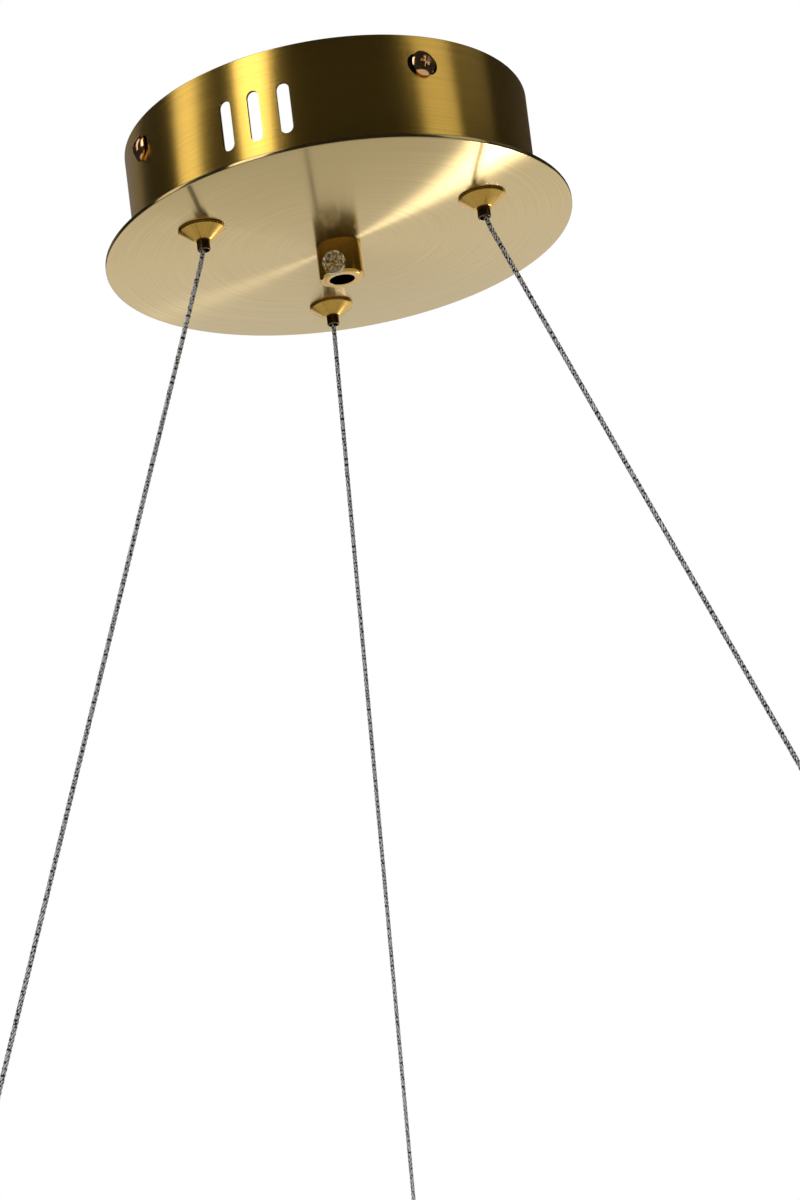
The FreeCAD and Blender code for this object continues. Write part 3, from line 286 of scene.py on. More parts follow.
def wire_rope(name, colour):
    """Galvanised wire rope. The dull zinc skin scatters half of the light. The zinc colour shows
    only in short dashes along each strand's crest, painted highlights that stand in for the
    wires' glints, and painted shade darkens the rest, most of all the grooves between strands."""
    material, tree = new_finish(name)
    place = add(tree, "ShaderNodeTexCoord", output="Object")
    skin = add(tree, "ShaderNodeTexNoise", inputs={
        "Vector": place, "Scale": 1 / ZINC_GRAIN, "Detail": 3.0})
    zinc = add(tree, "ShaderNodeMix", {"data_type": "RGBA"}, {
        0: skin, 6: shade(colour, 0.8), 7: shade(colour, 1.1)}, 2)
    crest = add(tree, "ShaderNodeAttribute", {"attribute_name": "crest"}, output="Fac")
    run = add(tree, "ShaderNodeAttribute", {"attribute_name": "run"}, output="Fac")
    # painted highlight: a dash pattern along each strand stands in for the wires' glints
    wires = add(tree, "ShaderNodeTexNoise", {"noise_dimensions": "1D"}, {
        "W": run, "Scale": 1 / PAINTED_GLINT_MARK, "Detail": 0.0})
    glint = add(tree, "ShaderNodeMapRange", inputs={
        "Value": wires, "From Min": 0.36, "From Max": 0.5})
    # painted shade: dark away from each strand's crest, in the grooves between strands
    painted_crest_shade = add(tree, "ShaderNodeMapRange", inputs={
        "Value": crest, "From Min": 0.2, "From Max": 0.6})
    share = add(tree, "ShaderNodeMath", {"operation": "MULTIPLY"}, {0: glint, 1: painted_crest_shade})
    # the zinc colour in the painted glints on the crests, painted shade everywhere else
    toned = add(tree, "ShaderNodeMix", {"data_type": "RGBA"}, {
        0: share, 6: linear(PAINTED_GROOVE_SHADE), 7: zinc}, 2)
    gloss = add(tree, "ShaderNodeMapRange", inputs={"Value": skin, "To Min": 0.12, "To Max": 0.32})
    shader = add(tree, "ShaderNodeBsdfPrincipled", inputs={
        "Base Color": toned, "Metallic": 0.5, "Roughness": gloss})
    add(tree, "ShaderNodeOutputMaterial", inputs={"Surface": shader})
    return material


def clear_plastic(name):
    """Moulded polycarbonate. Clear and glossy, with faint flow lines that waver the gloss."""
    material, tree = new_finish(name)
    place = add(tree, "ShaderNodeTexCoord", output="Object")
    flow = add(tree, "ShaderNodeTexNoise", inputs={
        "Vector": place, "Scale": 1 / FLOW_MARK, "Detail": 2.0})
    gloss = add(tree, "ShaderNodeMapRange", inputs={"Value": flow, "To Min": 0.0, "To Max": 0.012})
    bump = add(tree, "ShaderNodeBump", inputs={
        "Strength": 0.03, "Distance": 0.02 * MM, "Height": flow})
    shader = add(tree, "ShaderNodeBsdfPrincipled", inputs={
        "Base Color": linear("#F8FAFA"), "Roughness": gloss, "IOR": 1.585,
        "Transmission Weight": 1.0, "Normal": bump})
    add(tree, "ShaderNodeOutputMaterial", inputs={"Surface": shader})
    return material


def opal_acrylic(name):
    """Extruded opal acrylic. White and satin, with light scattered inside it."""
    material, tree = new_finish(name)
    place = add(tree, "ShaderNodeTexCoord", output="Object")
    grain = add(tree, "ShaderNodeTexNoise", inputs={
        "Vector": place, "Scale": 1 / OPAL_GRAIN, "Detail": 3.0})
    drift = add(tree, "ShaderNodeTexNoise", inputs={
        "Vector": place, "Scale": 1 / OPAL_DRIFT, "Detail": 2.0})
    toned = add(tree, "ShaderNodeMix", {"data_type": "RGBA"}, {
        0: drift, 6: linear("#E6E3DB"), 7: linear("#F7F6F3")}, 2)
    gloss = add(tree, "ShaderNodeMapRange", inputs={"Value": grain, "To Min": 0.25, "To Max": 0.45})
    bump = add(tree, "ShaderNodeBump", inputs={
        "Strength": 0.05, "Distance": 0.05 * MM, "Height": grain})
    shader = add(tree, "ShaderNodeBsdfPrincipled", inputs={
        "Base Color": toned, "Roughness": gloss, "IOR": 1.49, "Subsurface Weight": 0.25,
        "Subsurface Radius": (OPAL_SCATTER, OPAL_SCATTER, OPAL_SCATTER), "Normal": bump})
    add(tree, "ShaderNodeOutputMaterial", inputs={"Surface": shader})
    return material


def moulded_plastic(name, hex_colour, roughness=0.45):
    """Moulded plastic, insulation or powder coat. Its fine grain breaks the gloss into a
    soft, even sheen."""
    material, tree = new_finish(name)
    colour = linear(hex_colour)
    place = add(tree, "ShaderNodeTexCoord", output="Object")
    grain = add(tree, "ShaderNodeTexNoise", inputs={
        "Vector": place, "Scale": 1 / MOULD_GRAIN, "Detail": 2.0})
    toned = add(tree, "ShaderNodeMix", {"data_type": "RGBA"}, {
        0: grain, 6: shade(colour, 0.9), 7: shade(colour, 1.06)}, 2)
    gloss = add(tree, "ShaderNodeMapRange", inputs={
        "Value": grain, "To Min": roughness - 0.1, "To Max": roughness + 0.1})
    bump = add(tree, "ShaderNodeBump", inputs={
        "Strength": 0.2, "Distance": 0.04 * MM, "Height": grain})
    shader = add(tree, "ShaderNodeBsdfPrincipled", inputs={
        "Base Color": toned, "Roughness": gloss, "IOR": 1.5, "Normal": bump})
    add(tree, "ShaderNodeOutputMaterial", inputs={"Surface": shader})
    return material


def circuit_board(name, hex_colour):
    """Laminated board under lacquer. The glass weave shows as a fine check under the gloss."""
    material, tree = new_finish(name)
    colour = linear(hex_colour)
    place = add(tree, "ShaderNodeTexCoord", output="Object")
    toned = add(tree, "ShaderNodeTexChecker", inputs={
        "Vector": place, "Color1": shade(colour, 0.88), "Color2": colour, "Scale": 1 / WEAVE})
    shader = add(tree, "ShaderNodeBsdfPrincipled", inputs={
        "Base Color": toned, "Roughness": 0.25, "IOR": 1.5})
    add(tree, "ShaderNodeOutputMaterial", inputs={"Surface": shader})
    return material


STORE = {}   # the finishes by their short names, filled once


def finishes():
    """Every finish of the object, made once."""
    if STORE:
        return STORE
    scene = bpy.context.scene
    colours, pitch = scene.chandelier_finish, scene.chandelier_canopy.brush_pitch
    brass, bronze = tuple(colours.polished_brass), tuple(colours.bronze)
    STORE.update({
        # Brushed round and lacquered, so lamps show as bright upright bands between dark ones.
        "drum": brushed_metal("brushed_lacquered_brass", tuple(colours.drum_brass), wall_marks,
                              pitch, roughness=0.25, anisotropy=0.85, contrast=0.12, depth=0.015),
        # Spun to a pale champagne tone, so a lamp shows as a wedge on each side of the middle.
        "disc": brushed_metal("spun_champagne_brass", tuple(colours.disc_brass), disc_marks,
                              pitch, roughness=0.17, anisotropy=1.0, contrast=0.12, depth=0.012),
        # Brushed aluminium under brass-coloured lacquer: the drum's bands, paler and softer.
        "ring": brushed_metal("brushed_brass_lacquered_aluminium", tuple(colours.ring_brass),
                              wall_marks, pitch, roughness=0.25, anisotropy=0.85,
                              contrast=0.12, depth=0.015),
        # Turned brass: satin cones with a fan of light from rim to tip.
        "polished": turned_metal("turned_brass", brass, roughness=0.26, anisotropy=0.85),
        # The same brass polished further, with painted shade that colours the bore black.
        "grip": turned_metal("turned_brass_with_painted_shade_bore", brass, roughness=0.16, bore=4.7 * MM),
        "inlet": turned_metal("turned_brass_inlet", brass, roughness=0.16, bore=3.2 * MM),
        # Chemically darkened brass: a brown-black nozzle with a thin bright rim, and painted shade
        # that colours its bore black.
        "bronze": turned_metal("dark_bronzed_brass", bronze, roughness=0.2, anisotropy=0.5,
                               bore=1.95 * MM),
        # Nickel plate: a warm silver gloss.
        "nickel": plated_metal("nickel_plated_brass", linear("#C9C6BC"),
                               roughness=0.2, grain=3 * MM, contrast=0.08),
        # Copper plate: sharp pink glints on near-black reflections.
        "copper": plated_metal("copper_plated_steel", tuple(colours.copper),
                               roughness=0.12, grain=2 * MM, contrast=0.15),
        # Zinc plate: a dull, cloudy grey.
        "zinc": plated_metal("zinc_plated_steel", tuple(colours.zinc),
                             roughness=0.34, grain=4 * MM, contrast=0.15),
        # Galvanised and stranded: painted bright glint dashes between painted shade in the grooves.
        "rope": wire_rope("galvanised_steel_rope", tuple(colours.steel)),
        # Drawn wire: an even mid grey with soft highlights.
        "spring": plated_metal("spring_steel_wire", linear("#9B9B9A"),
                               roughness=0.3, grain=2 * MM, contrast=0.1),
        # Rolled aluminium as it comes from the mill: pale, flat and a little cloudy.
        "plate": plated_metal("mill_finish_aluminium", linear("#D2D3D5"),
                              roughness=0.4, grain=6 * MM, contrast=0.1),
        # Clear mouldings: bright edges and dark facets, with the brass showing through.
        "clear": clear_plastic("clear_moulded_polycarbonate"),
        # Opal extrusion: an even milky white that hides the diodes.
        "opal": opal_acrylic("opal_extruded_acrylic"),
        # Mouldings: off-white, ivory and black with a soft sheen.
        "case": moulded_plastic("white_moulded_abs", "#E6E5E0"),
        "terminal": moulded_plastic("natural_moulded_polyamide", "#DCD6C6"),
        "component": moulded_plastic("black_moulded_epoxy", "#26262A", 0.35),
        # Laminated boards: a fine check under a clear gloss.
        "board": circuit_board("green_glass_epoxy_board", "#2C6B3E"),
        "strip": circuit_board("white_flexible_polyimide_board", "#ECEBE6"),
        # Cast silicone with phosphor: yellow, smooth and a little glossy.
        "diode": moulded_plastic("phosphor_filled_silicone", "#E9CE6A", 0.3),
        # Powder coat: matt black with a fine orange peel.
        "black": moulded_plastic("black_powder_coated_steel", "#17171A", 0.45),
        # Extruded insulation: soft satin, white for the leads and green for the earth.
        "leads": moulded_plastic("white_silicone_insulation", "#E4E3DE", 0.4),
        "earth": moulded_plastic("green_yellow_pvc_insulation", "#8FA838", 0.4),
    })
    return STORE


# ---------------------------------------------------------------- mesh helpers

def rounded(outline, radius, steps=4):
    """The closed outline with each corner turned into a small arc."""
    made = []
    count = len(outline)
    for i, corner in enumerate(outline):
        point = Vector(corner)
        before = Vector(outline[i - 1]) - point
        after = Vector(outline[(i + 1) % count]) - point
        reach = min(radius, before.length * 0.45, after.length * 0.45)
        start, end = point + before.normalized() * reach, point + after.normalized() * reach
        for n in range(steps + 1):
            share = n / steps
            low, high = start.lerp(point, share), point.lerp(end, share)
            made.append(tuple(low.lerp(high, share)))
    return made


def lathe_mesh(outline, segments=128, centre=(0, 0, 0)):
    """Mesh turned about an upright axis from a closed outline of (radius, height), in metres."""
    mesh = bmesh.new()
    rings = []
    for n in range(segments):
        angle = 2 * math.pi * n / segments
        c, s = math.cos(angle), math.sin(angle)
        rings.append([mesh.verts.new((centre[0] + r * c, centre[1] + r * s, centre[2] + z))
                      for r, z in outline])
    count = len(outline)
    for n in range(segments):
        here, there = rings[n], rings[(n + 1) % segments]
        for i in range(count):
            mesh.faces.new((here[i], here[(i + 1) % count], there[(i + 1) % count], there[i]))
    bmesh.ops.remove_doubles(mesh, verts=mesh.verts, dist=1e-7)
    bmesh.ops.recalc_face_normals(mesh, faces=mesh.faces)
    return mesh


def to_object(mesh, name, finish, sharp=35, axis=(0, 0)):
    """Object of a finished mesh on its own upright axis, with its finish and its sharp edges."""
    data = bpy.data.meshes.new(name)
    mesh.to_mesh(data)
    mesh.free()
    piece = bpy.data.objects.new(name, data)
    bpy.context.scene.collection.objects.link(piece)
    piece.location = (axis[0], axis[1], 0)
    data.materials.append(finish)
    smooth(piece, sharp)
    return piece


def smooth(piece, sharp=35):
    """Smooth shading with sharp edges where the faces meet at more than that many degrees."""
    piece.data.shade_smooth()
    piece.data.set_sharp_from_angle(angle=math.radians(sharp))


def cut_away(piece, tools, sharp=35):
    """Cut the tools out of the piece and delete them."""
    for tool in tools:
        cutter = piece.modifiers.new("cut", "BOOLEAN")
        cutter.operation, cutter.solver, cutter.object = "DIFFERENCE", "EXACT", tool
    graph = bpy.context.evaluated_depsgraph_get()
    shaped = bpy.data.meshes.new_from_object(piece.evaluated_get(graph))
    piece.modifiers.clear()
    old = piece.data
    piece.data = shaped
    bpy.data.meshes.remove(old)
    for tool in tools:
        bpy.data.objects.remove(tool)
    smooth(piece, sharp)


def move_mesh(piece, matrix):
    """Move the piece's points and leave its own place alone."""
    piece.data.transform(matrix)
    return piece


def attach(piece, body, slot, *nodes):
    """Ride on a body and stand for the nodes. The slot is not used."""
    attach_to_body(piece, body)
    if nodes:
        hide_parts(*nodes)
    return piece


def dress(node, finish):
    """Give a frame node its finish."""
    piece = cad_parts[node]
    piece.data.materials.clear()
    piece.data.materials.append(finishes()[finish])


def box_of(node):
    """Lowest corner, highest corner and middle of a node at rest."""
    low, high = (Vector(corner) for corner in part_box(node))
    return low, high, (low + high) / 2


def aimed(azimuth, place):
    """Frame whose Z points outwards at an azimuth, at a place."""
    tip_over = Matrix.Rotation(math.radians(90), 4, "Y")
    return (Matrix.Translation(place)
            @ (Matrix.Rotation(math.radians(azimuth), 4, "Z") @ tip_over))


def polar(radius, azimuth, z):
    """Point at a radius and an azimuth in degrees round the canopy's axis."""
    angle = math.radians(azimuth)
    return Vector((radius * math.cos(angle), radius * math.sin(angle), z))


# ---------------------------------------------------------------- stage

SENSOR = 36                # millimetres along the image's longer side
CAMERA_LENS = 69.18        # millimetres on that sensor
CAMERA_DISTANCE = 0.8925   # metres to the middle of the disc's underside
CAMERA_AZIMUTH = 264.51    # degrees round the canopy where the camera stands
CAMERA_DROP = 21.866       # degrees that it looks up at the disc
CAMERA_ROLL = -7.938       # degrees
DISC_MIDDLE_PIXEL = (338.15, 246.23)
PRINCIPAL_PIXEL = (233.5, 1077.5)
IMAGE = (800, 1200)
FILL = 0.6                 # world light on everything but gloss and glass
AIM_Z = -0.02              # height on the canopy's axis that the lamps face
LAMP_DISTANCE = 1.6        # metres from the axis to most lamps
FELT_RADIUS = 2.0          # metres, behind the lamps
FELT_EDGE = -0.02          # height where the upper felt ends and the lower felt starts
FELT_TOP, FELT_FOOT = 2.2, -1.6
FLOOR_RADIUS, FLOOR_THICKNESS = 1.3, 0.02
FLOOR_GAP = 0.15           # metres from the ring down to the floor

# Name, azimuth, height, width, height of the lamp's own face, watts, distance from the axis,
# and whether it shows in gloss alone.
LAMPS = (
    ("key_softbox", 228, 0.9, 0.56, 1.9, 7.8, LAMP_DISTANCE, False),      # band on the vents
    ("side_softbox", 184.5, 0.8, 0.5, 1.7, 3.4, LAMP_DISTANCE, False),    # band left of them
    ("fill_softbox", 331, 0.8, 0.7, 1.7, 2.5, LAMP_DISTANCE, False),      # right side screw
    ("edge_softbox", 0, 1.1, 0.7, 1.0, 0.35, LAMP_DISTANCE, False),       # drum's right edge
    ("rear_softbox", 115, 0.8, 1.4, 1.7, 1.2, LAMP_DISTANCE, False),      # left edge, and the back
    ("low_softbox", 64, -0.73, 0.12, 0.12, 2.6, 0.85, True),              # wedge on the disc
)


def make_camera():
    """Camera at the photograph's place: aimed at the disc, rolled, then turned so that the
    disc's middle falls on its pixel."""
    data = bpy.data.cameras.new("photo_camera")
    data.lens, data.sensor_width = CAMERA_LENS, SENSOR
    data.shift_x = (IMAGE[0] / 2 - PRINCIPAL_PIXEL[0]) / IMAGE[1]
    data.shift_y = (PRINCIPAL_PIXEL[1] - IMAGE[1] / 2) / IMAGE[1]
    data.clip_start = 0.01
    camera = bpy.data.objects.new("photo_camera", data)
    bpy.context.scene.collection.objects.link(camera)
    disc_low, _, disc_middle = box_of("canopy_disc")
    target = Vector((disc_middle.x, disc_middle.y, disc_low.z))
    drop = math.radians(CAMERA_DROP)
    out = polar(math.cos(drop), CAMERA_AZIMUTH, -math.sin(drop))
    forward = -out
    right = forward.cross(Vector((0, 0, 1))).normalized()
    down = forward.cross(right)
    to_camera = Matrix((right, down, forward))
    roll = Matrix.Rotation(math.radians(CAMERA_ROLL), 3, "Z")
    focal = CAMERA_LENS / SENSOR * IMAGE[1]
    seen = Vector(((DISC_MIDDLE_PIXEL[0] - PRINCIPAL_PIXEL[0]) / focal,
                   (DISC_MIDDLE_PIXEL[1] - PRINCIPAL_PIXEL[1]) / focal, 1)).normalized()
    swing = Vector((0, 0, 1)).rotation_difference(seen).to_matrix()
    rows = swing @ roll @ to_camera
    axes = Matrix((rows[0], -rows[1], -rows[2])).transposed()
    camera.matrix_world = Matrix.Translation(target + out * CAMERA_DISTANCE) @ axes.to_4x4()
    bpy.context.scene.camera = camera


def make_world():
    """Plain white for the camera, in gloss and through glass, and a softer fill for the rest."""
    world = bpy.data.worlds.new("studio")
    world.use_nodes = True
    bpy.context.scene.world = world
    tree = world.node_tree
    tree.nodes.clear()
    seen = 0.0
    for ray in ("Is Camera Ray", "Is Glossy Ray", "Is Transmission Ray"):
        seen = add(tree, "ShaderNodeMath", {"operation": "MAXIMUM"}, {
            0: seen, 1: add(tree, "ShaderNodeLightPath", output=ray)})
    fill = add(tree, "ShaderNodeBackground", inputs={"Color": linear("#FFFFFF"), "Strength": FILL})
    white = add(tree, "ShaderNodeBackground", inputs={"Color": linear("#FFFFFF"), "Strength": 1.0})
    both = add(tree, "ShaderNodeMixShader", inputs={0: seen, 1: fill, 2: white})
    add(tree, "ShaderNodeOutputWorld", inputs={"Surface": both})


def felt_wall(name, start, end, profile):
    """Black felt between two azimuths, along a profile of (radius, height). It stands round the
    canopy out of the camera's sight and keeps the pale room out of the metal's gloss."""
    mesh = bmesh.new()
    steps = 64
    rows = [[mesh.verts.new(polar(radius, start + (end - start) * n / steps, z))
             for n in range(steps + 1)] for radius, z in profile]
    for low, high in zip(rows, rows[1:]):
        for n in range(steps):
            mesh.faces.new((low[n], low[n + 1], high[n + 1], high[n]))
    material, tree = new_finish(name + "_wool")
    place = add(tree, "ShaderNodeTexCoord", output="Object")
    nap = add(tree, "ShaderNodeTexNoise", inputs={"Vector": place, "Scale": 1 / FELT_NAP})
    toned = add(tree, "ShaderNodeMix", {"data_type": "RGBA"}, {
        0: nap, 6: linear("#242424"), 7: linear("#3C3C3C")}, 2)
    shader = add(tree, "ShaderNodeBsdfPrincipled", inputs={"Base Color": toned, "Roughness": 0.95})
    add(tree, "ShaderNodeOutputMaterial", inputs={"Surface": shader})
    wall = to_object(mesh, name, material)
    wall.visible_camera = wall.visible_diffuse = False
    wall.visible_transmission = wall.visible_shadow = False


def soft_lamp(name, azimuth, height, width, tall, power, distance, gloss_only):
    """Softbox that faces the canopy. The camera doesn't see it."""
    data = bpy.data.lights.new(name, "AREA")
    data.shape, data.size, data.size_y, data.energy = "RECTANGLE", width, tall, power
    lamp = bpy.data.objects.new(name, data)
    lamp.visible_camera = False
    lamp.visible_diffuse = not gloss_only
    bpy.context.scene.collection.objects.link(lamp)
    place = polar(distance, azimuth, height)
    aim = (Vector((0, 0, AIM_Z)) - place).to_track_quat("-Z", "Y")
    lamp.matrix_world = Matrix.Translation(place) @ aim.to_matrix().to_4x4()


def make_floor():
    """Plain pale round floor of uncoated paper under the ring. It looks matt and even."""
    material, tree = new_finish("pale_paper_floor")
    place = add(tree, "ShaderNodeTexCoord", output="Object")
    grain = add(tree, "ShaderNodeTexNoise", inputs={"Vector": place, "Scale": 1 / PAPER_GRAIN})
    toned = add(tree, "ShaderNodeMix", {"data_type": "RGBA"}, {
        0: grain, 6: linear("#EEEEEC"), 7: linear("#F4F4F2")}, 2)
    shader = add(tree, "ShaderNodeBsdfPrincipled", inputs={"Base Color": toned, "Roughness": 0.8})
    add(tree, "ShaderNodeOutputMaterial", inputs={"Surface": shader})
    outline = [(0, -FLOOR_THICKNESS), (FLOOR_RADIUS, -FLOOR_THICKNESS), (FLOOR_RADIUS, 0), (0, 0)]
    centre = (0, 0, CAD_BOX[0][2] - FLOOR_GAP)
    floor = to_object(lathe_mesh(outline, 96, centre), "floor", material)


class CHANDELIER_OT_stage(bpy.types.Operator):
    """Add the camera, the surroundings, the floor and the lamps"""
    bl_idname = "chandelier.stage"
    bl_label = "Stage"

    def execute(self, context):
        context.scene.view_settings.view_transform = "Standard"
        make_camera()
        make_world()
        make_floor()
        # The lower felt leaves a gap that the disc mirrors, so the disc stays pale.
        felt_wall("upper_felt", 0, 360, [
            (FELT_RADIUS, FELT_EDGE), (FELT_RADIUS, FELT_TOP), (0.01, FELT_TOP)])
        felt_wall("lower_felt", 118, 388, [(FELT_RADIUS, FELT_EDGE), (FELT_RADIUS, FELT_FOOT)])
        for lamp in LAMPS:
            soft_lamp(*lamp)
        return {"FINISHED"}


# ---------------------------------------------------------------- canopy

SIDE_SCREW_AZIMUTHS = (23.4, 113.4, 203.4, 293.4)   # degrees round the canopy
GRIPPER_AZIMUTHS = {1: 90, 2: 210, 3: 330}
VENT_AZIMUTHS = (238.5, 246.8, 255.1)
CLAMP_AZIMUTH, INLET_SCREW_AZIMUTH = 251.6, 280
CUT_DEPTH = 12 * MM       # how deep a slot tool reaches through the drum's wall
THREAD_PITCH = 0.7 * MM   # of the clamp screws
THREAD_WAVE = 0.11 * MM   # half of the thread's depth
FLUTES = 12               # flutes round a clamp screw's head
FLUTE = 0.045             # their depth, as a share of the head's radius
CROWN_FACETS = 8          # facets on top of a clamp screw's head


def slot_tool(width, length, depth, azimuth, place, level=False):
    """Prism with round ends that cuts an upright slot, or a level one."""
    mesh = bmesh.new()
    arc = 24   # points round each end
    loop = []
    for n in range(2 * arc):
        end = 1 if n < arc else -1
        angle = math.pi * (n % arc) / (arc - 1) + (0 if end > 0 else math.pi)
        loop.append((width / 2 * math.cos(angle),
                     end * (length - width) / 2 + width / 2 * math.sin(angle)))
    near = [mesh.verts.new((y, x, -depth / 2)) for x, y in loop]
    far = [mesh.verts.new((y, x, depth / 2)) for x, y in loop]
    mesh.faces.new(near)
    mesh.faces.new(reversed(far))
    for i in range(len(loop)):
        j = (i + 1) % len(loop)
        mesh.faces.new((near[j], near[i], far[i], far[j]))
    bmesh.ops.recalc_face_normals(mesh, faces=mesh.faces)
    tool = to_object(mesh, "vent_tool", finishes()["drum"])
    lay = Matrix.Rotation(math.radians(90 if level else 0), 4, "Z")
    return move_mesh(tool, aimed(azimuth, place) @ lay)


def round_tool(radius, depth, matrix):
    """Cylinder that cuts a round hole, centred on a place."""
    outline = [(0, -depth / 2), (radius, -depth / 2), (radius, depth / 2), (0, depth / 2)]
    return move_mesh(to_object(lathe_mesh(outline, 48), "hole_tool", finishes()["drum"]), matrix)


class CHANDELIER_OT_drum(bpy.types.Operator):
    """Add the brushed drum with its vents and screw holes"""
    bl_idname = "chandelier.drum"
    bl_label = "Drum"

    def execute(self, context):
        sizes = context.scene.chandelier_canopy
        low, high, _ = box_of("canopy_drum")
        radius = (high.x - low.x) / 2
        under = box_of("canopy_disc")[0].z
        inner = radius - sizes.drum_wall
        outline = rounded([
            (inner, low.z), (radius, low.z), (radius, high.z), (inner, high.z)], 0.35 * MM)
        drum = to_object(lathe_mesh(outline, 720), "canopy_drum_shell", finishes()["drum"])
        tools = [slot_tool(sizes.vent_width, sizes.vent_length, CUT_DEPTH, azimuth,
                           polar(radius, azimuth, under + sizes.vent_rise))
                 for azimuth in VENT_AZIMUTHS]
        screw_z = box_of("side_screws")[2].z
        tools += [slot_tool(sizes.screw_slot_height, sizes.screw_slot_length, CUT_DEPTH, azimuth,
                            polar(radius, azimuth, screw_z), True)
                  for azimuth in SIDE_SCREW_AZIMUTHS]
        cut_away(drum, tools)
        attach(drum, "canopy", "brushed_brass", "canopy_drum")
        return {"FINISHED"}


class CHANDELIER_OT_disc(bpy.types.Operator):
    """Add the spun disc with its rolled edge and its holes"""
    bl_idname = "chandelier.disc"
    bl_label = "Disc"

    def execute(self, context):
        low, high, _ = box_of("canopy_disc")
        radius = (high.x - low.x) / 2
        outline = rounded([
            (AXIS_GAP, low.z), (radius, low.z), (radius, high.z), (AXIS_GAP, high.z)], 0.45 * MM)
        disc = to_object(lathe_mesh(outline, 512), "canopy_disc_plate", finishes()["disc"])
        hole, reach = 5.05 * MM, 20 * MM
        nodes = [*(f"gripper_cone_{k}" for k in GRIPPER_AZIMUTHS), "cord_grip"]
        spots = [box_of(node)[2] for node in nodes]
        tools = [round_tool(hole, reach, Matrix.Translation((spot.x, spot.y, low.z)))
                 for spot in spots]
        cut_away(disc, tools)
        attach(disc, "canopy", "spun_brass", "canopy_disc")
        return {"FINISHED"}


def recess_tools(span, bar, deep, top, finish):
    """Two crossed bars that cut a cross recess, centred on the height of a head's top."""
    bars = []
    for wide, tall in ((span, bar), (bar, span)):
        mesh = bmesh.new()
        bmesh.ops.create_cube(mesh, size=1, matrix=(
            Matrix.Translation((0, 0, top)) @ Matrix.Diagonal((wide, tall, deep, 1))))
        bars.append(to_object(mesh, "recess_tool", finishes()[finish]))
    return bars


def dome_screw(head, rim, rise, shank, length):
    """Dome-headed screw along Z with a cross recess in its head."""
    dome = rise - rim
    big = (head ** 2 + dome ** 2) / 2 / dome
    arc = [(max(AXIS_GAP, big * math.sin(a)), rise - big + big * math.cos(a))
           for a in (math.asin(head / big) * n / 14 for n in range(15))]
    outline = [(AXIS_GAP, -length), (shank - 0.3 * MM, -length), (shank, 0.4 * MM - length),
               (shank, 0.05 * MM), (head - 0.3 * MM, 0.05 * MM), (head, 0.35 * MM),
               *reversed(arc)]
    screw = to_object(lathe_mesh(outline, 64), "side_screw_1", finishes()["copper"])
    span, bar, deep = 4.0 * MM, 0.9 * MM, 1.6 * MM
    cut_away(screw, recess_tools(span, bar, deep, rise, "copper"))
    return screw


class CHANDELIER_OT_side_screws(bpy.types.Operator):
    """Add the four dome-headed side screws"""
    bl_idname = "chandelier.side_screws"
    bl_label = "Side screws"

    def execute(self, context):
        low, high, _ = box_of("canopy_drum")
        radius = (high.x - low.x) / 2
        screw_low, screw_high, screw_middle = box_of("side_screws")
        rim, rise, shank, length = 0.9 * MM, 2.9 * MM, 1.95 * MM, 8 * MM
        first = dome_screw((screw_high.z - screw_low.z) / 2, rim, rise, shank, length)
        blank = first.data.copy()
        for n, azimuth in enumerate(SIDE_SCREW_AZIMUTHS, start=1):
            screw = first if n == 1 else bpy.data.objects.new(f"side_screw_{n}", blank.copy())
            if n > 1:
                context.scene.collection.objects.link(screw)
            spin = Matrix.Rotation(math.radians(20 * n), 4, "Z")
            screw.matrix_world = aimed(azimuth, polar(radius, azimuth, screw_middle.z)) @ spin
            attach(screw, "canopy", "copper_screws", *(["side_screws"] if n == 1 else []))
        return {"FINISHED"}


class CHANDELIER_OT_grippers(bpy.types.Operator):
    """Add the cones and the sprung nozzles of the three grippers"""
    bl_idname = "chandelier.grippers"
    bl_label = "Grippers"

    def execute(self, context):
        wide, guide, tip, rim = 8.4 * MM, 2.4 * MM, 3.2 * MM, 0.8 * MM
        nozzle, bore, flare, flare_rise = 2.35 * MM, 1.35 * MM, 1.9 * MM, 1.2 * MM
        collar, collar_height = 3.4 * MM, 1.5 * MM
        for k in GRIPPER_AZIMUTHS:
            low, high, middle = box_of(f"gripper_cone_{k}")
            outline = rounded([
                (guide, low.z), (tip, low.z), (wide, high.z - rim), (wide, high.z),
                (guide, high.z)], 0.3 * MM)
            cone = to_object(lathe_mesh(outline, 96), f"gripper_cone_{k}_turned",
                             finishes()["polished"], axis=middle)
            attach(cone, "canopy", "polished_brass", f"gripper_cone_{k}")
            low, high, middle = box_of(f"gripper_plunger_{k}")
            seat = box_of(f"gripper_barrel_{k}")[0].z
            outline = rounded([
                (flare, low.z), (nozzle - 0.2 * MM, low.z), (nozzle, low.z + 0.25 * MM),
                (nozzle, seat), (collar, seat), (collar, seat + collar_height),
                (nozzle, seat + collar_height), (nozzle, high.z), (bore, high.z),
                (bore, low.z + flare_rise)], 0.12 * MM, 3)
            plunger = to_object(lathe_mesh(outline, 64), f"gripper_nozzle_{k}",
                                finishes()["bronze"], axis=middle)
            attach(plunger, f"plunger_{k}", "bronze_nozzle", f"gripper_plunger_{k}")
            dress(f"gripper_barrel_{k}", "nickel")
            dress(f"gripper_balls_{k}", "zinc")
            dress(f"gripper_spring_{k}", "spring")
        return {"FINISHED"}


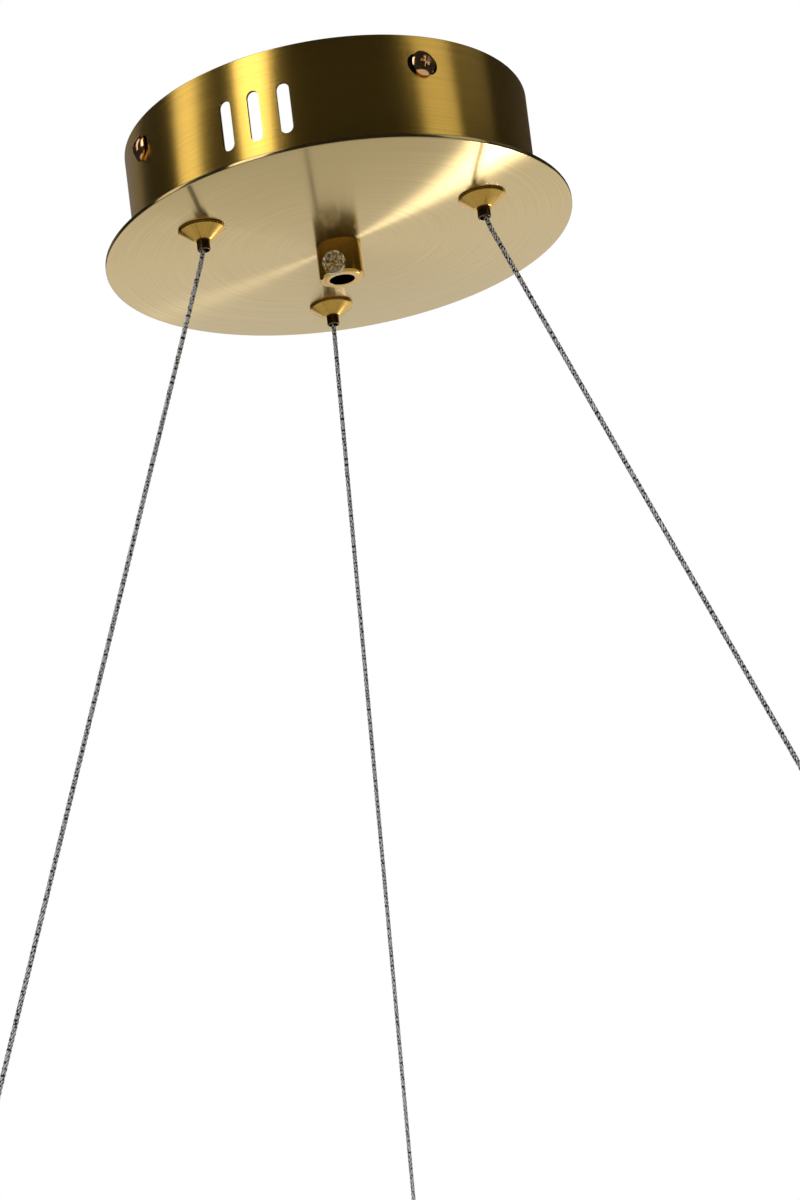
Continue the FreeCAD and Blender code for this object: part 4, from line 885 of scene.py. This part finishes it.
class CHANDELIER_OT_cord_grip(bpy.types.Operator):
    """Add the cord grip and its clear clamp screw"""
    bl_idname = "chandelier.cord_grip"
    bl_label = "Cord grip"

    def execute(self, context):
        low, high, _ = box_of("cord_grip")
        under = box_of("canopy_disc")[0].z
        wide, chamfer, neck = 8.2 * MM, 0.8 * MM, 5 * MM
        bore, neck_bore, step = 4.5 * MM, 3.6 * MM, low.z + 10 * MM
        outline = rounded([
            (bore, low.z), (wide - chamfer, low.z), (wide, low.z + chamfer), (wide, under),
            (neck, under), (neck, high.z), (neck_bore, high.z), (neck_bore, step), (bore, step)],
            0.25 * MM, 3)
        grip = to_object(lathe_mesh(outline, 128), "cord_grip_turned", finishes()["grip"])
        attach(grip, "canopy", "polished_brass", "cord_grip")
        make_clamp_screw("cord_grip_screw_moulded", "cord_grip_screw", "clamp_screw",
                         CLAMP_AZIMUTH, (0, 0, under - 9.5 * MM),
                         start=8.6 * MM, head=4.2 * MM, thick=3.4 * MM, shank=1.95 * MM,
                         tip=4.6 * MM)
        return {"FINISHED"}


def make_clamp_screw(name, node, body, azimuth, place, start, head, thick, shank, tip):
    """Moulded clamp screw. Its fluted head has a crown of facets and a cross recess, and its
    shank is threaded. Start is where its head begins, and tip is where its shank ends."""
    mesh = bmesh.new()
    around = 96   # points round the screw
    angles = [2 * math.pi * n / around for n in range(around)]

    def ring(radius, z, wave=0.0, turns=angles):
        """One level of the screw, fluted by wave as a share of the radius."""
        points = []
        for a in turns:
            reach = radius * (1 - wave * (0.5 - 0.5 * math.cos(FLUTES * a)))
            points.append(mesh.verts.new((reach * math.cos(a), reach * math.sin(a), z)))
        return points

    steps = int((start - tip) / THREAD_PITCH * 6)   # six levels in one pitch of the thread
    shank_rings = [ring(shank - THREAD_WAVE * (1 - math.cos(math.pi * n / 3)),
                        tip + n * THREAD_PITCH / 6) for n in range(steps)]
    mesh.faces.new(list(reversed(shank_rings[0])))
    levels = shank_rings + [ring(head * 0.9, start), ring(head, start + 0.12 * thick, FLUTE),
                            ring(head, start + 0.62 * thick, FLUTE),
                            ring(head * 0.92, start + 0.7 * thick)]
    for low, high in zip(levels, levels[1:]):
        for n in range(around):
            beside = (n + 1) % around
            mesh.faces.new((low[n], low[beside], high[beside], high[n]))
    rim = levels[-1]
    part = around // CROWN_FACETS
    crown = ring(head * 0.66, start + 1.0 * thick, 0, angles[part // 2::part])
    table = ring(head * 0.34, start + 0.74 * thick, 0, angles[::part])
    for n in range(CROWN_FACETS):
        left, right = crown[n - 1], crown[n]
        corner = rim[n * part]
        following = [rim[(n * part + k) % around] for k in range(part + 1)]
        mesh.faces.new((table[n], left, corner))
        mesh.faces.new((table[n], corner, right))
        for k in range(part):
            mesh.faces.new((right, following[k], following[k + 1]))
        mesh.faces.new((table[n], right, table[(n + 1) % CROWN_FACETS]))
    mesh.faces.new(table)
    bmesh.ops.recalc_face_normals(mesh, faces=mesh.faces)
    screw = to_object(mesh, name, finishes()["clear"], 4)
    cut_away(screw, recess_tools(head * 0.7, head * 0.16, 0.9 * thick, start + thick, "clear"), 4)
    screw.matrix_world = aimed(azimuth, place) @ Matrix.Rotation(math.radians(60), 4, "Z")
    attach(screw, body, "clear_plastic", node)


# ---------------------------------------------------------------- ropes

ROPE_SHARP = 80   # degrees: a strand's few sides are shaded as round


def route_points(name, controls, sample):
    """Evenly spaced points along the smooth curve of a few control points, and its length."""
    data = bpy.data.curves.new(name + "_route", "CURVE")
    data.dimensions, data.resolution_u = "3D", 64
    spline = data.splines.new("NURBS")
    spline.points.add(len(controls) - 1)
    for point, control in zip(spline.points, controls):
        point.co = (*control, 1)
    spline.order_u, spline.use_endpoint_u = 3, True
    route = bpy.data.objects.new(name + "_route", data)
    bpy.context.scene.collection.objects.link(route)
    line = [v.co.copy() for v in bpy.data.meshes.new_from_object(route).vertices]
    bpy.data.objects.remove(route)
    total = sum((b - a).length for a, b in zip(line, line[1:]))
    count = max(2, round(total / sample))
    points, walked, i = [line[0]], 0.0, 0
    for n in range(1, count):
        goal = total * n / count
        while walked + (line[i + 1] - line[i]).length < goal:
            walked += (line[i + 1] - line[i]).length
            i += 1
        share = (goal - walked) / (line[i + 1] - line[i]).length
        points.append(line[i].lerp(line[i + 1], share))
    return points + [line[-1]], total


def strand(mesh, points, radius, offset, lay, phase, sides):
    """One tube wound round the line of points, or along it where offset is 0. Its crest
    layer is 1 on the side away from the line, and its run layer is the way along it."""
    layers = mesh.verts.layers.float
    crest = layers.get("crest") or layers.new("crest")
    run = layers.get("run") or layers.new("run")
    spacing = (points[1] - points[0]).length
    direction = (points[1] - points[0]).normalized()
    side = direction.orthogonal().normalized()
    rings = []
    for i, point in enumerate(points):
        if i:
            turned_to = (points[i] - points[i - 1]).normalized()
            side = (side - turned_to * side.dot(turned_to)).normalized()
            direction = turned_to
        other = direction.cross(side)
        angle = phase + (2 * math.pi * i * spacing / lay if lay else 0)
        out = side * math.cos(angle) + other * math.sin(angle)
        across = direction.cross(out)
        centre = point + out * offset
        rings.append([])
        for n in range(sides):
            turn = 2 * math.pi * n / sides
            vert = mesh.verts.new(
                centre + (out * math.cos(turn) + across * math.sin(turn)) * radius)
            vert[crest] = math.cos(turn) if offset else 0.0
            vert[run] = phase + i * spacing
            rings[-1].append(vert)
    for low, high in zip(rings, rings[1:]):
        for n in range(sides):
            mesh.faces.new((low[n], low[(n + 1) % sides], high[(n + 1) % sides], high[n]))
    mesh.faces.new(list(reversed(rings[0])))
    mesh.faces.new(rings[-1])


def rope_mesh(points, radius, sizes):
    """Six strands laid round a core, as wide as the rope."""
    mesh = bmesh.new()
    count = sizes.strand_count
    sine = math.sin(math.pi / count)
    thin = radius * sine / (1 + sine) * 1.1
    for n in range(count):
        phase = 2 * math.pi * n / count
        strand(mesh, points, thin, radius - thin, sizes.lay_length, phase, 8)
    strand(mesh, points, radius - 1.7 * thin, 0, 0, 0, 6)
    bmesh.ops.recalc_face_normals(mesh, faces=mesh.faces)
    return mesh


class CHANDELIER_OT_ropes(bpy.types.Operator):
    """Add the three stranded suspension ropes and their tails inside the canopy"""
    bl_idname = "chandelier.ropes"
    bl_label = "Ropes"

    def execute(self, context):
        sizes = context.scene.chandelier_rope
        for k in GRIPPER_AZIMUTHS:
            tail_low, tail_high, tail_middle = box_of(f"rope_tail_{k}")
            radius = (tail_high.x - tail_low.x) / 2
            exit_point = Vector((tail_middle.x, tail_middle.y, box_of(f"gripper_plunger_{k}")[0].z))
            ball = box_of(f"rope_end_{k}")[2]
            line = (ball - exit_point).normalized()
            start = exit_point + Vector((0, 0, 5 * MM))
            end = ball - line * 2 * MM
            controls = [start, exit_point + Vector((0, 0, 0.5 * MM)),
                        exit_point + line * 12 * radius, end]
            points, total = route_points(f"rope_{k}", controls, sizes.sample)
            rope = to_object(rope_mesh(points, radius, sizes), f"suspension_rope_{k}_strands",
                             finishes()["rope"], ROPE_SHARP)
            attach(rope, "canopy", "steel_rope", f"suspension_rope_{k}")
            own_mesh(rope)
            top = Vector((tail_middle.x, tail_middle.y, tail_high.z))
            points, _ = route_points(f"tail_{k}", [start, (start + top) / 2, top], sizes.sample)
            tail = to_object(rope_mesh(points, radius, sizes), f"rope_tail_{k}_strands",
                             finishes()["rope"], ROPE_SHARP)
            attach(tail, "canopy", "steel_rope", f"rope_tail_{k}")
        return {"FINISHED"}


# ---------------------------------------------------------------- ring

class CHANDELIER_OT_ring(bpy.types.Operator):
    """Add the brushed ring channel and its opal diffuser"""
    bl_idname = "chandelier.ring"
    bl_label = "Ring"

    def execute(self, context):
        sizes = context.scene.chandelier_ring
        low, high, _ = box_of("ring_channel")
        radius, wall = (high.x - low.x) / 2, sizes.wall
        inner = radius - sizes.depth
        outline = rounded([
            (radius, high.z), (radius, low.z), (inner, low.z), (inner, low.z + wall),
            (radius - wall, low.z + wall), (radius - wall, high.z - wall),
            (inner, high.z - wall), (inner, high.z)], 0.4 * MM)
        channel = to_object(lathe_mesh(outline, 720), "ring_channel_rolled", finishes()["ring"])
        stud_hole, inlet_hole, reach = 2.25 * MM, 3.95 * MM, 10 * MM
        places = [polar(radius - sizes.depth / 2, azimuth, high.z)
                  for azimuth in GRIPPER_AZIMUTHS.values()]
        holes = [round_tool(stud_hole, reach, Matrix.Translation(place)) for place in places]
        inlet = box_of("ring_inlet")[2]
        holes.append(round_tool(
            inlet_hole, reach, Matrix.Translation((inlet.x, inlet.y, high.z))))
        cut_away(channel, holes)
        attach(channel, "ring", "ring_brass", "ring_channel")
        low, high, _ = box_of("ring_diffuser")
        thick = 2 * MM
        outline = rounded([
            (inner, low.z), (inner + thick, low.z), (inner + thick, high.z), (inner, high.z)],
            0.5 * MM)
        diffuser = to_object(lathe_mesh(outline, 720), "ring_diffuser_extruded",
                             finishes()["opal"])
        attach(diffuser, "ring", "opal_acrylic", "ring_diffuser")
        dress("led_strip", "strip")
        dress("led_diodes", "diode")
        dress("seam_joiner", "plate")
        dress("joiner_screws", "zinc")
        return {"FINISHED"}


class CHANDELIER_OT_anchors(bpy.types.Operator):
    """Add the rope anchors and the ring's cord inlet"""
    bl_idname = "chandelier.anchors"
    bl_label = "Anchors"

    def execute(self, context):
        face = box_of("ring_channel")[1].z
        wide, stud, low_edge, high_edge = 5.5 * MM, 1.95 * MM, 0.3 * MM, 0.6 * MM
        socket, throat, mouth, radius = 2.45 * MM, 1.95 * MM, 3.9 * MM, 2.4 * MM
        bowl_angles = [math.radians(-88 + n * (88 + 37.3) / 10) for n in range(10)]
        ball_angles = [math.radians(-90 + n * 9) for n in range(21)]
        for k in GRIPPER_AZIMUTHS:
            low, high, middle = box_of(f"ring_anchor_{k}")
            ball = box_of(f"rope_end_{k}")[2]
            neck = ball.z + math.sqrt(socket ** 2 - throat ** 2)
            bowl = [(socket * math.cos(a), ball.z + socket * math.sin(a)) for a in bowl_angles]
            outline = [(AXIS_GAP, low.z), (stud, low.z), (stud, face), (wide - low_edge, face),
                       (wide, face + low_edge), (wide, high.z - high_edge),
                       (wide - high_edge, high.z), (mouth, high.z), (throat, neck),
                       *reversed(bowl)]
            anchor = to_object(lathe_mesh(outline, 96), f"ring_anchor_{k}_turned",
                               finishes()["polished"], axis=middle)
            attach(anchor, "ring", "polished_brass", f"ring_anchor_{k}")
            arc = [(max(AXIS_GAP, radius * math.cos(a)), ball.z + radius * math.sin(a))
                   for a in ball_angles]
            end = to_object(lathe_mesh(arc, 48), f"rope_end_{k}_ball",
                            finishes()["nickel"], axis=ball)
            attach(end, "ring", "nickel_brass", f"rope_end_{k}")
        self.make_inlet()
        dress("anchor_nuts", "zinc")
        dress("ring_inlet_nut", "zinc")
        return {"FINISHED"}

    def make_inlet(self):
        """Turned inlet with its moulded clamp screw."""
        low, high, middle = box_of("ring_inlet")
        face = box_of("ring_channel")[1].z
        wide, neck, bore, edge = 5 * MM, 3.9 * MM, 3 * MM, 0.6 * MM
        outline = rounded([
            (bore, low.z), (neck, low.z), (neck, face), (wide, face), (wide, high.z - edge),
            (wide - edge, high.z), (bore, high.z)], 0.2 * MM, 3)
        inlet = to_object(lathe_mesh(outline, 96), "ring_inlet_turned",
                          finishes()["inlet"], axis=middle)
        attach(inlet, "ring", "polished_brass", "ring_inlet")
        make_clamp_screw("ring_inlet_screw_moulded", "ring_inlet_screw", "inlet_screw",
                         INLET_SCREW_AZIMUTH, (middle.x, middle.y, face + 8.5 * MM),
                         start=5.6 * MM, head=2.6 * MM, thick=2 * MM, shank=1.45 * MM,
                         tip=3.1 * MM)


# ---------------------------------------------------------------- inside the canopy

class CHANDELIER_OT_inside(bpy.types.Operator):
    """Finish the pieces inside the canopy"""
    bl_idname = "chandelier.inside"
    bl_label = "Inside"

    def execute(self, context):
        dressed = {
            "black": ["ceiling_plate"],
            "zinc": ["drum_tabs", "disc_studs", "disc_nuts", "canopy_washers", "canopy_nuts",
                     "earth_post", "terminal_screws"],
            "terminal": ["terminal_block", "output_connector"],
            "case": ["driver_case", "driver_lid"],
            "board": ["driver_board"],
            "component": ["driver_components"],
            "leads": ["mains_leads", "output_leads"],
            "earth": ["earth_lead"],
        }
        for finish, nodes in dressed.items():
            for node in nodes:
                dress(node, finish)
        return {"FINISHED"}


class CHANDELIER_PT_panel(bpy.types.Panel):
    """List the pieces of the chandelier in the order in which they are made"""
    bl_idname = "CHANDELIER_PT_panel"
    bl_label = "LED Ring Chandelier"
    bl_space_type = "VIEW_3D"
    bl_region_type = "UI"
    bl_category = "Chandelier"

    def draw(self, context):
        for maker in MAKERS:
            self.layout.operator(maker.bl_idname)


SETTINGS = {"chandelier_canopy": CanopySettings, "chandelier_rope": RopeSettings,
            "chandelier_ring": RingSettings, "chandelier_finish": FinishSettings}
MAKERS = (CHANDELIER_OT_stage, CHANDELIER_OT_ropes, CHANDELIER_OT_drum, CHANDELIER_OT_disc,
          CHANDELIER_OT_side_screws, CHANDELIER_OT_grippers, CHANDELIER_OT_cord_grip,
          CHANDELIER_OT_ring, CHANDELIER_OT_anchors, CHANDELIER_OT_inside)
CLASSES = (*SETTINGS.values(), *MAKERS, CHANDELIER_PT_panel)


def register():
    for item in CLASSES:
        bpy.utils.register_class(item)
    for name, group in SETTINGS.items():
        setattr(bpy.types.Scene, name, bpy.props.PointerProperty(type=group))


def unregister():
    for name in SETTINGS:
        delattr(bpy.types.Scene, name)
    for item in reversed(CLASSES):
        bpy.utils.unregister_class(item)


def main():
    """Make every piece in order."""
    register()
    for maker in MAKERS:
        group, name = maker.bl_idname.split(".")
        getattr(getattr(bpy.ops, group), name)()


if __name__ == "__main__":
    main()
